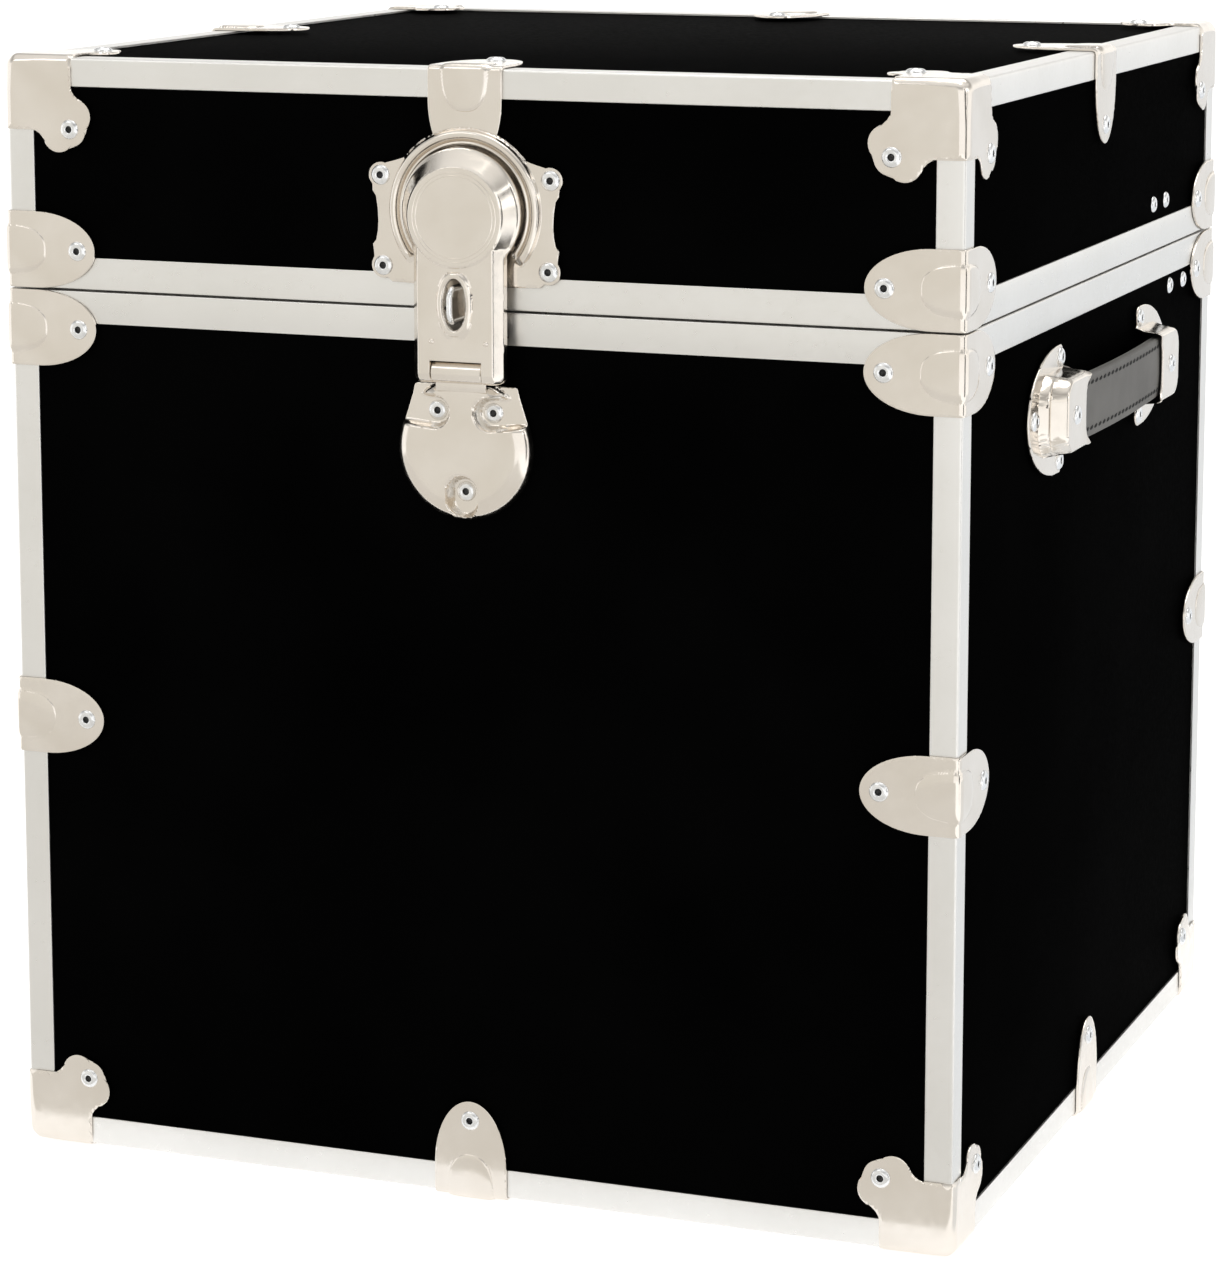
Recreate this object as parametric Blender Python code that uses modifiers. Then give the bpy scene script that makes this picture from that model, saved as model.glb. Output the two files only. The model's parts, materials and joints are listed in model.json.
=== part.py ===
"""A cube-shaped footlocker: plywood panels in metal edging, riveted corner caps and clamps,
a hasp lock, two leather-gripped handles, a piano hinge and one folding lid stay."""

import math

import bmesh
import bpy
from mathutils import Matrix, Vector

# Driving dimensions, in metres.
SIDE = 0.4965            # outside of the edging, both ways
HEIGHT = 0.559           # outside of the edging, lid closed
LID_HEIGHT = 0.1156      # from the split line to the top of the edging
FOOT = 0.0031            # the edging's underside stands this far above the rivets it rests on
SPLIT_GAP = 0.0008
SHEET = 0.0012           # edging, caps and clamps
CLEAR = 0.0003           # between pieces that touch
OVERCUT = 0.010          # how far a cutter runs past what it cuts
PLY = 0.0095
FLANGE = 0.0142          # edging round the top, the bottom and the upright corners
VALANCE = 0.0160         # edging either side of the split
TONGUE_HEIGHT = 0.010
TONGUE_PLAY = 0.0007     # between the tongue and the lid's walls
CLAMP_WIDTH = 0.0385
CLAMP_LENGTH = 0.0480
CLAMP_STRAIGHT = 0.015
CLAMP_RIVET = 0.0382
CAP_ARM = 0.0360
CAP_RIVET = 0.0353
CAP_ROUND = 0.0024
MID_CLAMP_HEIGHT = 0.2245
RIVET_RADIUS = 0.0050
RIVET_HEIGHT = 0.0016
RIVET_SIDES = 10
HINGE_OFFSET = 0.0050    # from the back of the edging to the hinge axis
HINGE_KNUCKLES = 13
HINGE_HALF = 0.198
KNUCKLE_RADIUS = 0.0030
HINGE_ROLL_SIDES = 10
HINGE_PIN_RADIUS = 0.0013
HINGE_LEAF = 0.0010
HINGE_LEAF_NEAR = 0.0020             # from the hinge axis to a leaf's near and far edges
HINGE_LEAF_FAR = 0.0180
HINGE_WEB = 0.0028
HINGE_RIVET_OFF = 0.0110
HINGE_RIVET_FIRST = -0.170
HINGE_RIVET_PITCH = 0.068
HINGE_RIVETS = 6

# The lock. Heights here and on the handles are from the edging's underside, and "out" is from its front.
LOCK_CENTRE_Z = 0.4910
LOCK_EARS = ((0.0441, 0.5070), (0.0429, 0.4633))
LOCK_EAR_RADIUS = 0.0063
LOCK_WAIST = [(0.0480, 0.4735), (0.0460, 0.4780), (0.0455, 0.4850), (0.0460, 0.4940), (0.0480, 0.4992)]
LOCK_FOOT = [(0.0100, 0.4365), (0.0100, 0.4545), (0.0385, 0.4555)]
LOCK_CROWN = 0.0414
LOCK_BEAD_CENTRE = 0.0360
LOCK_BEAD_RADIUS = 0.0038
LOCK_BEAD_OUT = 0.0016
LOCK_BEAD_ENDS = (-42, 222)
CLAMP_TRIM = 0.0424                  # the clamp over the lock stops this far from the lock's centre
STAPLE_Z = 0.4474
STAPLE_OUT = 0.0225
STAPLE_WIRE = 0.0014
STAPLE_RISE = 0.0094
STAPLE_EYE_OUT = 0.0168
HASP_AXIS_Z = 0.4140
HASP_AXIS_OUT = 0.0092
HASP_KNUCKLE = 0.0053
HASP_PIN_RADIUS = 0.0019
HASP_HALF = 0.0234
HASP_WALL = 0.0014
HASP_FACE = 0.0147
HASP_BACK = 0.0058
HASP_DISH_RADIUS = 0.0309
HASP_DISC_Z = 0.4892
HASP_DISC_RADIUS = 0.0246
HASP_DISC_PROUD = 0.0006
HASP_CAVITY = 0.0075                 # from the pin up to the hollow behind the strap
HASP_SLOT_HALF = 0.0058
HASP_SLOT_REACH = 0.0062             # from the slot's middle to the centres of its round ends
NECK_HALF = 0.0131
LOW_PLATE_Z = 0.3760
LOW_PLATE_RADIUS = 0.0350
LOW_PLATE_SHOULDER = [(0.0292, 0.3975), (0.0265, 0.4070)]
LOW_PLATE_DEPTH = 0.0078
LOW_PLATE_ROUND = 0.0045
LOW_PAN_SHARE = 0.93
LOW_RIVETS = ((-0.0146, 0.3940), (0.0146, 0.3940), (0.0, 0.3550))
LOW_CUP = 0.0080
LOW_WELL = 0.0067

# The handles. Distances along the side are from the trunk's middle.
HANDLE_Z = 0.3853
LOOP_END = 0.1390
LOOP_SPREAD = (0.0550, 0.0320)
LOOP_INNER = [(0.0775, 0.0300), (0.0755, 0.0250), (0.0800, 0.0180)]
BRIDGE = (0.0800, 0.1165)
BRIDGE_HALF = 0.0195
BRIDGE_OUT = 0.0150
LOOP_RIVETS = ((0.0815, 0.0260), (0.1250, 0.0), (0.0815, -0.0260))
BRIDGE_RIVET = 0.0985
GRIP_WIDTH = 0.0320
GRIP_BACK = 0.0024                   # from the strap's middle line to its back and front
GRIP_FRONT = 0.0006
GRIP_OUT = 0.0098
GRIP_BOW = 0.0030

# The lid stay, as (from the trunk's middle, above the split).
STAY_LID_PIVOT = (0.1310, 0.0250)
STAY_BODY_PIVOT = (0.1740, -0.0235)
STAY_INSET = 0.0136
ARM = 0.0015
ARM_GAP = 0.0005
ARM_HALF = 0.0065
ARM_HOLE = 0.0030
STUD = 0.0026
STUD_PROUD = 0.0010
BRACKET = (0.0220, 0.0080)

HALF = SIDE / 2
TOP = FOOT + HEIGHT
SPLIT = TOP - LID_HEIGHT
BODY_TOP = SPLIT - SPLIT_GAP / 2
LID_BOTTOM = SPLIT + SPLIT_GAP / 2
SKIN = SHEET + CLEAR                 # from the edging's outside to the plywood
WALL_INSIDE = HALF - SKIN - PLY
AXIS = Vector((0.0, HALF + HINGE_OFFSET, SPLIT))


def clear_scene():
    for obj in list(bpy.data.objects):
        bpy.data.objects.remove(obj, do_unlink=True)


clear_scene()
PARTS = bpy.data.collections.new("footlocker")
CUTTERS = bpy.data.collections.new("cutters")
for group in (PARTS, CUTTERS):
    bpy.context.scene.collection.children.link(group)
CUTTERS.hide_render = True


def make_material(name, colour, metallic, roughness):
    made = bpy.data.materials.new(name)
    made.use_nodes = True
    made.diffuse_color = (*colour, 1)
    shader = made.node_tree.nodes["Principled BSDF"]
    shader.inputs["Base Color"].default_value = (*colour, 1)
    shader.inputs["Metallic"].default_value = metallic
    shader.inputs["Roughness"].default_value = roughness
    return made


LAMINATE = make_material("black_laminate", (0.012, 0.012, 0.013), 0.0, 0.55)
ALUMINIUM = make_material("satin_aluminium", (0.80, 0.79, 0.77), 1.0, 0.32)
NICKEL = make_material("nickel_plate", (0.78, 0.73, 0.67), 1.0, 0.18)
ZINC = make_material("zinc_steel", (0.70, 0.71, 0.72), 1.0, 0.28)
LEATHER = make_material("black_leather", (0.05, 0.048, 0.045), 0.0, 0.6)


def new_object(name, mesh):
    """A helper object. finish() makes one of them a part."""
    obj = bpy.data.objects.new(name, mesh)
    CUTTERS.objects.link(obj)
    obj.hide_render = True
    obj.display_type = "WIRE"
    return obj


def mesh_from(name, build):
    """A mesh that build(bm) fills."""
    mesh = bpy.data.meshes.new(name)
    bm = bmesh.new()
    build(bm)
    bmesh.ops.recalc_face_normals(bm, faces=bm.faces)
    bm.to_mesh(mesh)
    bm.free()
    return mesh


def box(name, x, y, z):
    """A box between the two ends of each of x, y and z."""
    centre = Vector([(ends[0] + ends[1]) / 2 for ends in (x, y, z)])
    size = [abs(ends[1] - ends[0]) for ends in (x, y, z)]
    place = Matrix.Translation(centre) @ Matrix.Diagonal((*size, 1))

    def build(bm):
        bmesh.ops.create_cube(bm, size=1, matrix=place)

    return new_object(name, mesh_from(name, build))


def rod(name, start, end, radius, sides=12, end_radius=None):
    """A cylinder, or a cone, from start to end."""
    start = Vector(start)
    along = Vector(end) - start
    place = Matrix.Translation(start + along / 2) @ along.to_track_quat("Z", "Y").to_matrix().to_4x4()
    tip = radius if end_radius is None else end_radius

    def build(bm):
        bmesh.ops.create_cone(
            bm, cap_ends=True, segments=sides, radius1=radius, radius2=tip, depth=along.length, matrix=place
        )

    return new_object(name, mesh_from(name, build))


def evaluated_mesh(obj):
    bpy.context.view_layer.update()
    graph = bpy.context.evaluated_depsgraph_get()
    return bpy.data.meshes.new_from_object(obj.evaluated_get(graph))


def baked(obj):
    """Puts what the modifiers make into the object's own mesh."""
    mesh = evaluated_mesh(obj)
    obj.modifiers.clear()
    obj.data = mesh
    return obj


def plate(name, outline, thickness, plane, start):
    """A flat outline given thickness.

    plane says where its two axes and its depth point, and start is the depth at its back.
    """
    curve = bpy.data.curves.new(name, "CURVE")
    curve.dimensions = "2D"
    curve.fill_mode = "BOTH"
    curve.extrude = thickness / 2
    spline = curve.splines.new("POLY")
    spline.points.add(len(outline) - 1)
    for point, (a, b) in zip(spline.points, outline):
        point.co = (a, b, 0, 1)
    spline.use_cyclic_u = True
    flat = new_object(name + "_curve", curve)
    mesh = evaluated_mesh(flat)
    bpy.data.objects.remove(flat)
    mesh.name = name
    across, up, depth = (Vector(axis) for axis in plane)
    turn = Matrix((across, up, depth)).transposed().to_4x4()
    bm = bmesh.new()
    bm.from_mesh(mesh)
    bmesh.ops.remove_doubles(bm, verts=bm.verts, dist=1e-6)
    bmesh.ops.dissolve_limit(bm, angle_limit=math.radians(0.5), verts=bm.verts, edges=bm.edges)
    bmesh.ops.transform(bm, verts=bm.verts, matrix=turn @ Matrix.Translation((0, 0, start + thickness / 2)))
    bmesh.ops.recalc_face_normals(bm, faces=bm.faces)
    bm.to_mesh(mesh)
    bm.free()
    return new_object(name, mesh)


def combine(obj, others, operation):
    for other in others:
        modifier = obj.modifiers.new(operation.lower(), "BOOLEAN")
        modifier.operation = operation
        modifier.solver = "EXACT"
        modifier.object = other
    return obj


def cut(obj, *others):
    return combine(obj, others, "DIFFERENCE")


def join(obj, *others):
    return combine(obj, others, "UNION")


def keep(obj, *others):
    return combine(obj, others, "INTERSECT")


def finish(obj, name, material):
    """Makes the object one of the parts."""
    obj.name = name
    if obj.name in CUTTERS.objects:
        CUTTERS.objects.unlink(obj)
        PARTS.objects.link(obj)
    obj.hide_render = False
    obj.display_type = "TEXTURED"
    obj.data.materials.clear()
    obj.data.materials.append(material)
    obj.data.shade_smooth()
    obj.data.set_sharp_from_angle(angle=math.radians(35))
    return obj


def copy_of(pattern, name, matrix):
    made = bpy.data.objects.new(name, pattern.data)
    PARTS.objects.link(made)
    made.matrix_world = matrix
    return made


def arc(centre, radius, start, end, count):
    """Points along an arc, angles in degrees."""
    turns = [math.radians(start + (end - start) * i / (count - 1)) for i in range(count)]
    return [(centre[0] + radius * math.cos(t), centre[1] + radius * math.sin(t)) for t in turns]


def mirrored(half):
    """The outline whose right half runs from the bottom to the top."""
    return half + [(-a, b) for a, b in reversed(half) if abs(a) > 1e-9]


def rivet(name, at, outward, sides=RIVET_SIDES):
    """A domed rivet head whose foot is at the point, sunk a little into what it holds."""
    at = Vector(at)
    outward = Vector(outward)
    foot = at - outward * SHEET / 2
    return rod(name, foot, at + outward * RIVET_HEIGHT, RIVET_RADIUS, sides, RIVET_RADIUS * 0.7)


FRONT = ((1, 0, 0), (0, 0, 1), (0, -1, 0))        # x, z, and depth towards the front
RIGHT = ((0, 1, 0), (0, 0, 1), (1, 0, 0))         # y, z, and depth towards the right
FLAT = ((1, 0, 0), (0, 1, 0), (0, 0, 1))          # x, y, and depth upwards


def panel(name, x, y, z):
    return finish(box(name, x, y, z), name, LAMINATE)


def panels():
    """Ten plywood boards: the top and bottom are whole, and the side walls stand between the front and back."""
    outer = HALF - SKIN
    full = (-outer, outer)
    side_run = (-WALL_INSIDE + CLEAR, WALL_INSIDE - CLEAR)
    body_z = (FOOT + SKIN + PLY + CLEAR, BODY_TOP - SKIN)
    lid_z = (LID_BOTTOM + SKIN, TOP - SKIN - PLY - CLEAR)
    made = [panel("body_bottom_panel", full, full, (FOOT + SKIN, FOOT + SKIN + PLY))]
    made.append(panel("lid_top_panel", full, full, (TOP - SKIN - PLY, TOP - SKIN)))
    for part, z in (("body", body_z), ("lid", lid_z)):
        made.append(panel(part + "_front_panel", full, (-outer, -WALL_INSIDE), z))
        made.append(panel(part + "_back_panel", full, (WALL_INSIDE, outer), z))
        made.append(panel(part + "_left_panel", (-outer, -WALL_INSIDE), side_run, z))
        made.append(panel(part + "_right_panel", (WALL_INSIDE, outer), side_run, z))
    return made


def edging_cage(name, z, flange_end, inner_z):
    """Angle edging round one end and down the four upright corners, as a box hollowed and then windowed."""
    whole = (-HALF, HALF)
    inside = (-HALF + SHEET, HALF - SHEET)
    window = (-HALF + FLANGE, HALF - FLANGE)
    past = (-HALF - OVERCUT, HALF + OVERCUT)
    cage = box(name, whole, whole, z)
    cut(cage, box(name + "_hollow", inside, inside, inner_z))
    cut(cage, box(name + "_end_window", window, window, (z[0] - OVERCUT, z[1] + OVERCUT)))
    cut(cage, box(name + "_x_window", past, window, flange_end))
    cut(cage, box(name + "_y_window", window, past, flange_end))
    return finish(cage, name, ALUMINIUM)


def square_ring(name, outer, inner, z):
    ring = box(name, (-outer, outer), (-outer, outer), z)
    middle = box(name + "_middle", (-inner, inner), (-inner, inner), (z[0] - OVERCUT, z[1] + OVERCUT))
    return cut(ring, middle)


def edging():
    lid_post_end = LID_BOTTOM + VALANCE + CLEAR
    body_post_end = BODY_TOP - VALANCE - CLEAR
    below = lid_post_end - OVERCUT
    above = body_post_end + OVERCUT
    edging_cage("lid_edging", (lid_post_end, TOP), (below, TOP - FLANGE), (below, TOP - SHEET))
    edging_cage("base_edging", (FOOT, body_post_end), (FOOT + FLANGE, above), (FOOT + SHEET, above))
    lid_rim = square_ring("lid_rim_edging", HALF, HALF - SHEET, (LID_BOTTOM, LID_BOTTOM + VALANCE))
    shelf = square_ring("lid_rim_shelf", HALF, WALL_INSIDE, (LID_BOTTOM, LID_BOTTOM + SHEET))
    finish(join(lid_rim, baked(shelf)), "lid_rim_edging", ALUMINIUM)
    tongue_outer = WALL_INSIDE - TONGUE_PLAY
    tongue_inner = tongue_outer - SHEET
    body_rim = square_ring("body_rim_edging", HALF, HALF - SHEET, (BODY_TOP - VALANCE, BODY_TOP))
    ledge = square_ring("body_rim_ledge", HALF, tongue_inner, (BODY_TOP - SHEET, BODY_TOP))
    tongue_z = (BODY_TOP - SHEET, BODY_TOP + TONGUE_HEIGHT)
    tongue = square_ring("body_rim_tongue", tongue_outer, tongue_inner, tongue_z)
    finish(join(body_rim, baked(ledge), baked(tongue)), "body_rim_edging", ALUMINIUM)


def bullet():
    """A clamp leg's outline: its length runs along the first axis, away from the fold."""
    half = CLAMP_WIDTH / 2
    long = CLAMP_LENGTH - CLAMP_STRAIGHT
    turns = [math.radians(-90 + 180 * i / 10) for i in range(11)]
    nose = [(CLAMP_STRAIGHT + long * math.cos(t), half * math.sin(t)) for t in turns]
    return [(-SKIN, -half)] + nose + [(-SKIN, half)]


def clamp_pattern():
    """A clamp folded over the upright edge at the origin, with one leg along -X and one along +Y."""
    tall = (-CLAMP_WIDTH / 2, CLAMP_WIDTH / 2)
    past = CLAMP_LENGTH + OVERCUT
    angle = box("clamp_pattern", (-CLAMP_LENGTH, SKIN), (-SKIN, CLAMP_LENGTH), tall)
    cut(angle, box("clamp_inside", (-past, CLEAR), (-CLEAR, past), (-CLAMP_WIDTH, CLAMP_WIDTH)))
    on_front = plate("clamp_front_leg", [(-u, v) for u, v in reversed(bullet())], 2 * past, FRONT, -past)
    on_side = plate("clamp_side_leg", bullet(), 2 * past, RIGHT, -past)
    keep(angle, on_front, on_side)
    join(angle, rivet("clamp_rivet_a", (-CLAMP_RIVET, -SKIN, 0), (0, -1, 0)))
    join(angle, rivet("clamp_rivet_b", (SKIN, CLAMP_RIVET, 0), (1, 0, 0)))
    return finish(baked(angle), "clamp_pattern", NICKEL)


def petal():
    """A corner cap's outline on one face: two straight arms, and three lobes along the diagonal."""
    side_lobe = arc((0.0383, 0.0290), 0.0087, -80, 38, 6)
    tip = arc((0.0356, 0.0356), 0.0086, 18, 45, 2)
    half = [(-SKIN, -SKIN), (CAP_ARM, -SKIN), (CAP_ARM, 0.0140), (0.0375, 0.0185)] + side_lobe + tip
    return half + [(v, u) for u, v in reversed(half[1:-1])]


def cap_pattern():
    """A cap for the top, front, right corner, whose edging corner is at the origin."""
    on_front = plate("cap_pattern", [(-u, -v) for u, v in petal()], SHEET, FRONT, CLEAR)
    on_side = plate("cap_side", [(u, -v) for u, v in petal()], SHEET, RIGHT, CLEAR)
    on_top = plate("cap_top", [(-u, v) for u, v in petal()], SHEET, FLAT, CLEAR)
    join(on_front, on_side, on_top)
    past = 2 * CAP_ARM
    block = box("cap_round", (-past, SKIN), (-SKIN, past), (-past, SKIN))
    bevel = block.modifiers.new("round", "BEVEL")
    bevel.width = CAP_ROUND
    bevel.segments = 3
    keep(on_front, baked(block))
    join(on_front, rivet("cap_rivet_a", (-CAP_RIVET, -SKIN, -CAP_RIVET), (0, -1, 0)))
    join(on_front, rivet("cap_rivet_b", (SKIN, CAP_RIVET, -CAP_RIVET), (1, 0, 0)))
    join(on_front, rivet("cap_rivet_c", (-CAP_RIVET, CAP_RIVET, SKIN), (0, 0, 1)))
    return finish(baked(on_front), "cap_pattern", NICKEL)


CORNERS = ("front_right", "rear_right", "rear_left", "front_left")
SIDES = ("front", "right", "rear", "left")


def quarter(step):
    return Matrix.Rotation(math.radians(90 * step), 4, "Z")


def caps_and_clamps():
    clamp = clamp_pattern()
    cap = cap_pattern()
    tip_down = Matrix.Rotation(math.radians(90), 4, "Y")
    tip_up = Matrix.Rotation(math.radians(-90), 4, "Y")
    for step, corner in enumerate(CORNERS):
        turn = quarter(step)
        edge = turn @ Matrix.Translation((HALF, -HALF, 0))
        copy_of(cap, "lid_cap_" + corner, edge @ Matrix.Translation((0, 0, TOP)))
        copy_of(cap, "base_cap_" + corner, edge @ Matrix.Translation((0, 0, FOOT)) @ tip_down)
        heights = {
            "lid_rim_clamp_": LID_BOTTOM + CLAMP_WIDTH / 2,
            "body_rim_clamp_": BODY_TOP - CLAMP_WIDTH / 2,
            "mid_clamp_": FOOT + MID_CLAMP_HEIGHT,
        }
        for name, height in heights.items():
            copy_of(clamp, name + corner, edge @ Matrix.Translation((0, 0, height)))
    for step, side in enumerate(SIDES):
        top_edge = quarter(step) @ Matrix.Translation((0, -HALF, TOP)) @ tip_up
        base_edge = quarter(step) @ Matrix.Translation((0, -HALF, FOOT)) @ tip_down
        copy_of(clamp, "top_clamp_" + side, top_edge)
        copy_of(clamp, "base_clamp_" + side, base_edge)
    lock_z = FOOT + LOCK_CENTRE_Z
    trim_ends = (0, front_depth(-OVERCUT), lock_z), (0, front_depth(OVERCUT), lock_z)
    trim = rod("lock_clearance", *trim_ends, CLAMP_TRIM, 40)
    front_clamp = bpy.data.objects["top_clamp_front"]
    front_clamp.data = front_clamp.data.copy()
    cut(front_clamp, trim)
    for pattern in (clamp, cap):
        bpy.data.objects.remove(pattern)


def front_depth(out):
    """The y of a point that stands out from the edging's front."""
    return -HALF - out


def lock_bead():
    """The raised ring round the hasp's disc, with its back cut off flat."""
    ring = bpy.data.curves.new("lock_ring", "CURVE")
    ring.dimensions = "3D"
    ring.bevel_depth = LOCK_BEAD_RADIUS
    ring.bevel_resolution = 2
    ring.use_fill_caps = True
    spline = ring.splines.new("POLY")
    points = arc((0, FOOT + LOCK_CENTRE_Z), LOCK_BEAD_CENTRE, *LOCK_BEAD_ENDS, 30)
    spline.points.add(len(points) - 1)
    for point, (x, z) in zip(spline.points, points):
        point.co = (x, front_depth(LOCK_BEAD_OUT), z, 1)
    curve = new_object("lock_ring_curve", ring)
    mesh = evaluated_mesh(curve)
    bpy.data.objects.remove(curve)
    bm = bmesh.new()
    bm.from_mesh(mesh)
    bmesh.ops.remove_doubles(bm, verts=bm.verts, dist=1e-6)
    bmesh.ops.recalc_face_normals(bm, faces=bm.faces)
    bm.to_mesh(mesh)
    bm.free()
    bead = new_object("lock_ring", mesh)
    wide = (-2 * LOCK_CROWN, 2 * LOCK_CROWN)
    keep(bead, box("lock_ring_front", wide, (front_depth(OVERCUT), front_depth(2 * CLEAR)), (0, TOP)))
    return baked(bead)


def lid_lock_plate():
    high, low = LOCK_EARS
    ear_low = arc(low, LOCK_EAR_RADIUS, -110, 40, 8)
    ear_high = arc(high, LOCK_EAR_RADIUS, -40, 110, 8)
    crown = arc((0.0, LOCK_CENTRE_Z), LOCK_CROWN, 40, 90, 8)
    half = LOCK_FOOT + ear_low + LOCK_WAIST + ear_high + crown
    outline = [(x, FOOT + z) for x, z in mirrored(half)]
    body = plate("lid_lock_plate", outline, SHEET, FRONT, HALF + CLEAR)
    join(body, lock_bead())
    for x, z in LOCK_EARS:
        for side in (-1, 1):
            join(body, rivet("lock_rivet", (side * x, front_depth(SKIN), FOOT + z), (0, -1, 0)))
    return finish(body, "lid_lock_plate", NICKEL)


def staple():
    """A wire loop on the lid's lock plate, for the hasp's slot to pass over and a padlock to go through."""
    z = FOOT + STAPLE_Z
    inner = STAPLE_RISE - 2 * STAPLE_WIRE
    tall = (z - STAPLE_RISE, z + STAPLE_RISE)
    inner_z = (z - inner, z + inner)
    wide = (-OVERCUT, OVERCUT)
    foot = front_depth(SKIN + CLEAR)
    tip = front_depth(STAPLE_OUT)
    loop = box("staple", (-STAPLE_WIRE, STAPLE_WIRE), (tip, foot), tall)
    eye = front_depth(STAPLE_EYE_OUT)
    slot = box("staple_slot", wide, (eye, foot - 2 * STAPLE_WIRE), inner_z)
    hole = rod("staple_eye", (wide[0], eye, z), (wide[1], eye, z), 2 * STAPLE_WIRE, 16)
    nose = box("staple_nose", wide, (tip + 2 * STAPLE_WIRE, eye + SHEET), inner_z)
    cut(loop, join(slot, hole, nose))
    return finish(loop, "staple", ZINC)


def low_plate_shell(outline):
    """The lower plate as a shallow pan, rounded at its front edge and hollow behind."""
    shell = plate("body_lock_plate", outline, LOW_PLATE_DEPTH, FRONT, HALF + CLEAR)
    rim = shell.modifiers.new("dome", "BEVEL")
    rim.width = LOW_PLATE_ROUND
    rim.segments = 2
    rim.limit_method = "WEIGHT"
    weights = shell.data.attributes.new("bevel_weight_edge", "FLOAT", "EDGE")
    front_y = front_depth(CLEAR + LOW_PLATE_DEPTH)
    for edge in shell.data.edges:
        ends = [shell.data.vertices[i].co.y for i in edge.vertices]
        flat = all(abs(y - front_y) < 1e-5 for y in ends)
        weights.data[edge.index].value = 1.0 if flat else 0.0
    middle = FOOT + LOW_PLATE_Z
    pan = [(x * LOW_PAN_SHARE, middle + (z - middle) * LOW_PAN_SHARE) for x, z in outline]
    depth = LOW_PLATE_DEPTH + CLEAR
    return cut(baked(shell), plate("lock_pan", pan, depth, FRONT, HALF - SHEET))


def body_lock_plate():
    low = arc((0.0, LOW_PLATE_Z), LOW_PLATE_RADIUS, -90, 22, 12)
    outline = [(x, FOOT + z) for x, z in mirrored(low + LOW_PLATE_SHOULDER)]
    shell = low_plate_shell(outline)
    y = front_depth(HASP_AXIS_OUT)
    z = FOOT + HASP_AXIS_Z
    join(shell, rod("lock_knuckle", (-NECK_HALF, y, z), (NECK_HALF, y, z), HASP_KNUCKLE, 16))
    neck_y = (front_depth(LOW_PLATE_DEPTH), front_depth(LOW_PLATE_DEPTH - SKIN))
    join(shell, box("lock_neck", (-NECK_HALF, NECK_HALF), neck_y, (z - 2 * HASP_KNUCKLE, z)))
    for x, height in LOW_RIVETS:
        at = FOOT + height
        floor = (x, front_depth(SKIN), at)
        cup_ends = (x, front_depth(CLEAR), at), (x, front_depth(LOW_PLATE_DEPTH), at)
        join(shell, rod("lock_cup", *cup_ends, LOW_CUP))
        cut(shell, rod("lock_well", floor, (x, front_depth(2 * OVERCUT), at), LOW_WELL))
        join(shell, rivet("lock_low_rivet", floor, (0, -1, 0)))
    cut(shell, rod("lock_bore", (-SIDE, y, z), (SIDE, y, z), HASP_PIN_RADIUS + CLEAR))
    return finish(shell, "body_lock_plate", NICKEL)


def hasp_slot():
    """The cutter for the upright slot with round ends."""
    z = FOOT + STAPLE_Z
    near, far = front_depth(HASP_BACK), front_depth(HASP_FACE + OVERCUT)
    ends = (z - HASP_SLOT_REACH, z + HASP_SLOT_REACH)
    slot = box("hasp_slot", (-HASP_SLOT_HALF, HASP_SLOT_HALF), (far, near), ends)
    for end in ends:
        join(slot, rod("hasp_slot_end", (0, near, end), (0, far, end), HASP_SLOT_HALF, 16))
    return baked(slot)


def hasp():
    """The swinging hasp: a channel with a dished disc at its top and two rolled ears on its pin."""
    y = front_depth(HASP_AXIS_OUT)
    z = FOOT + HASP_AXIS_Z
    dish_z = FOOT + LOCK_CENTRE_Z
    disc_z = FOOT + HASP_DISC_Z
    face = front_depth(HASP_FACE)
    inner_face = front_depth(HASP_FACE - HASP_WALL)
    dish_back = front_depth(HASP_BACK + CLEAR)
    channel = box("hasp", (-HASP_HALF, HASP_HALF), (face, front_depth(HASP_BACK)), (z, dish_z))
    top_radius = HASP_DISC_RADIUS + CLEAR
    dish = rod("hasp_dish", (0, dish_back, dish_z), (0, face, dish_z), HASP_DISH_RADIUS, 36, top_radius)
    hollow_radius = HASP_DISH_RADIUS - HASP_WALL / 2
    hollow = (0, front_depth(HASP_BACK - CLEAR), dish_z), (0, inner_face, dish_z)
    join(channel, dish)
    cut(channel, rod("hasp_dish_in", *hollow, hollow_radius, 36, top_radius - HASP_WALL))
    hollow_x = (-HASP_HALF + HASP_WALL, HASP_HALF - HASP_WALL)
    cut(channel, box("hasp_inside", hollow_x, (inner_face, front_depth(0)), (z + HASP_CAVITY, dish_z)))
    disc_face = front_depth(HASP_FACE + HASP_DISC_PROUD)
    join(channel, rod("hasp_disc", (0, inner_face, disc_z), (0, disc_face, disc_z), HASP_DISC_RADIUS, 36))
    ear = NECK_HALF + CLEAR
    for side in (-1, 1):
        join(channel, rod("hasp_ear", (side * ear, y, z), (side * HASP_HALF, y, z), HASP_KNUCKLE, 16))
    gap_top = z + HASP_KNUCKLE + CLEAR
    gap_y = (front_depth(HASP_FACE + OVERCUT), front_depth(0))
    cut(channel, box("hasp_knuckle_gap", (-ear, ear), gap_y, (z - OVERCUT, gap_top)))
    cut(channel, hasp_slot())
    cut(channel, rod("hasp_bore", (-SIDE, y, z), (SIDE, y, z), HASP_PIN_RADIUS + CLEAR))
    return finish(channel, "hasp", NICKEL)


def hasp_pin():
    y = front_depth(HASP_AXIS_OUT)
    z = FOOT + HASP_AXIS_Z
    pin = rod("hasp_pin", (-HASP_HALF, y, z), (HASP_HALF, y, z), HASP_PIN_RADIUS)
    return finish(pin, "hasp_pin", ZINC)


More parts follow.
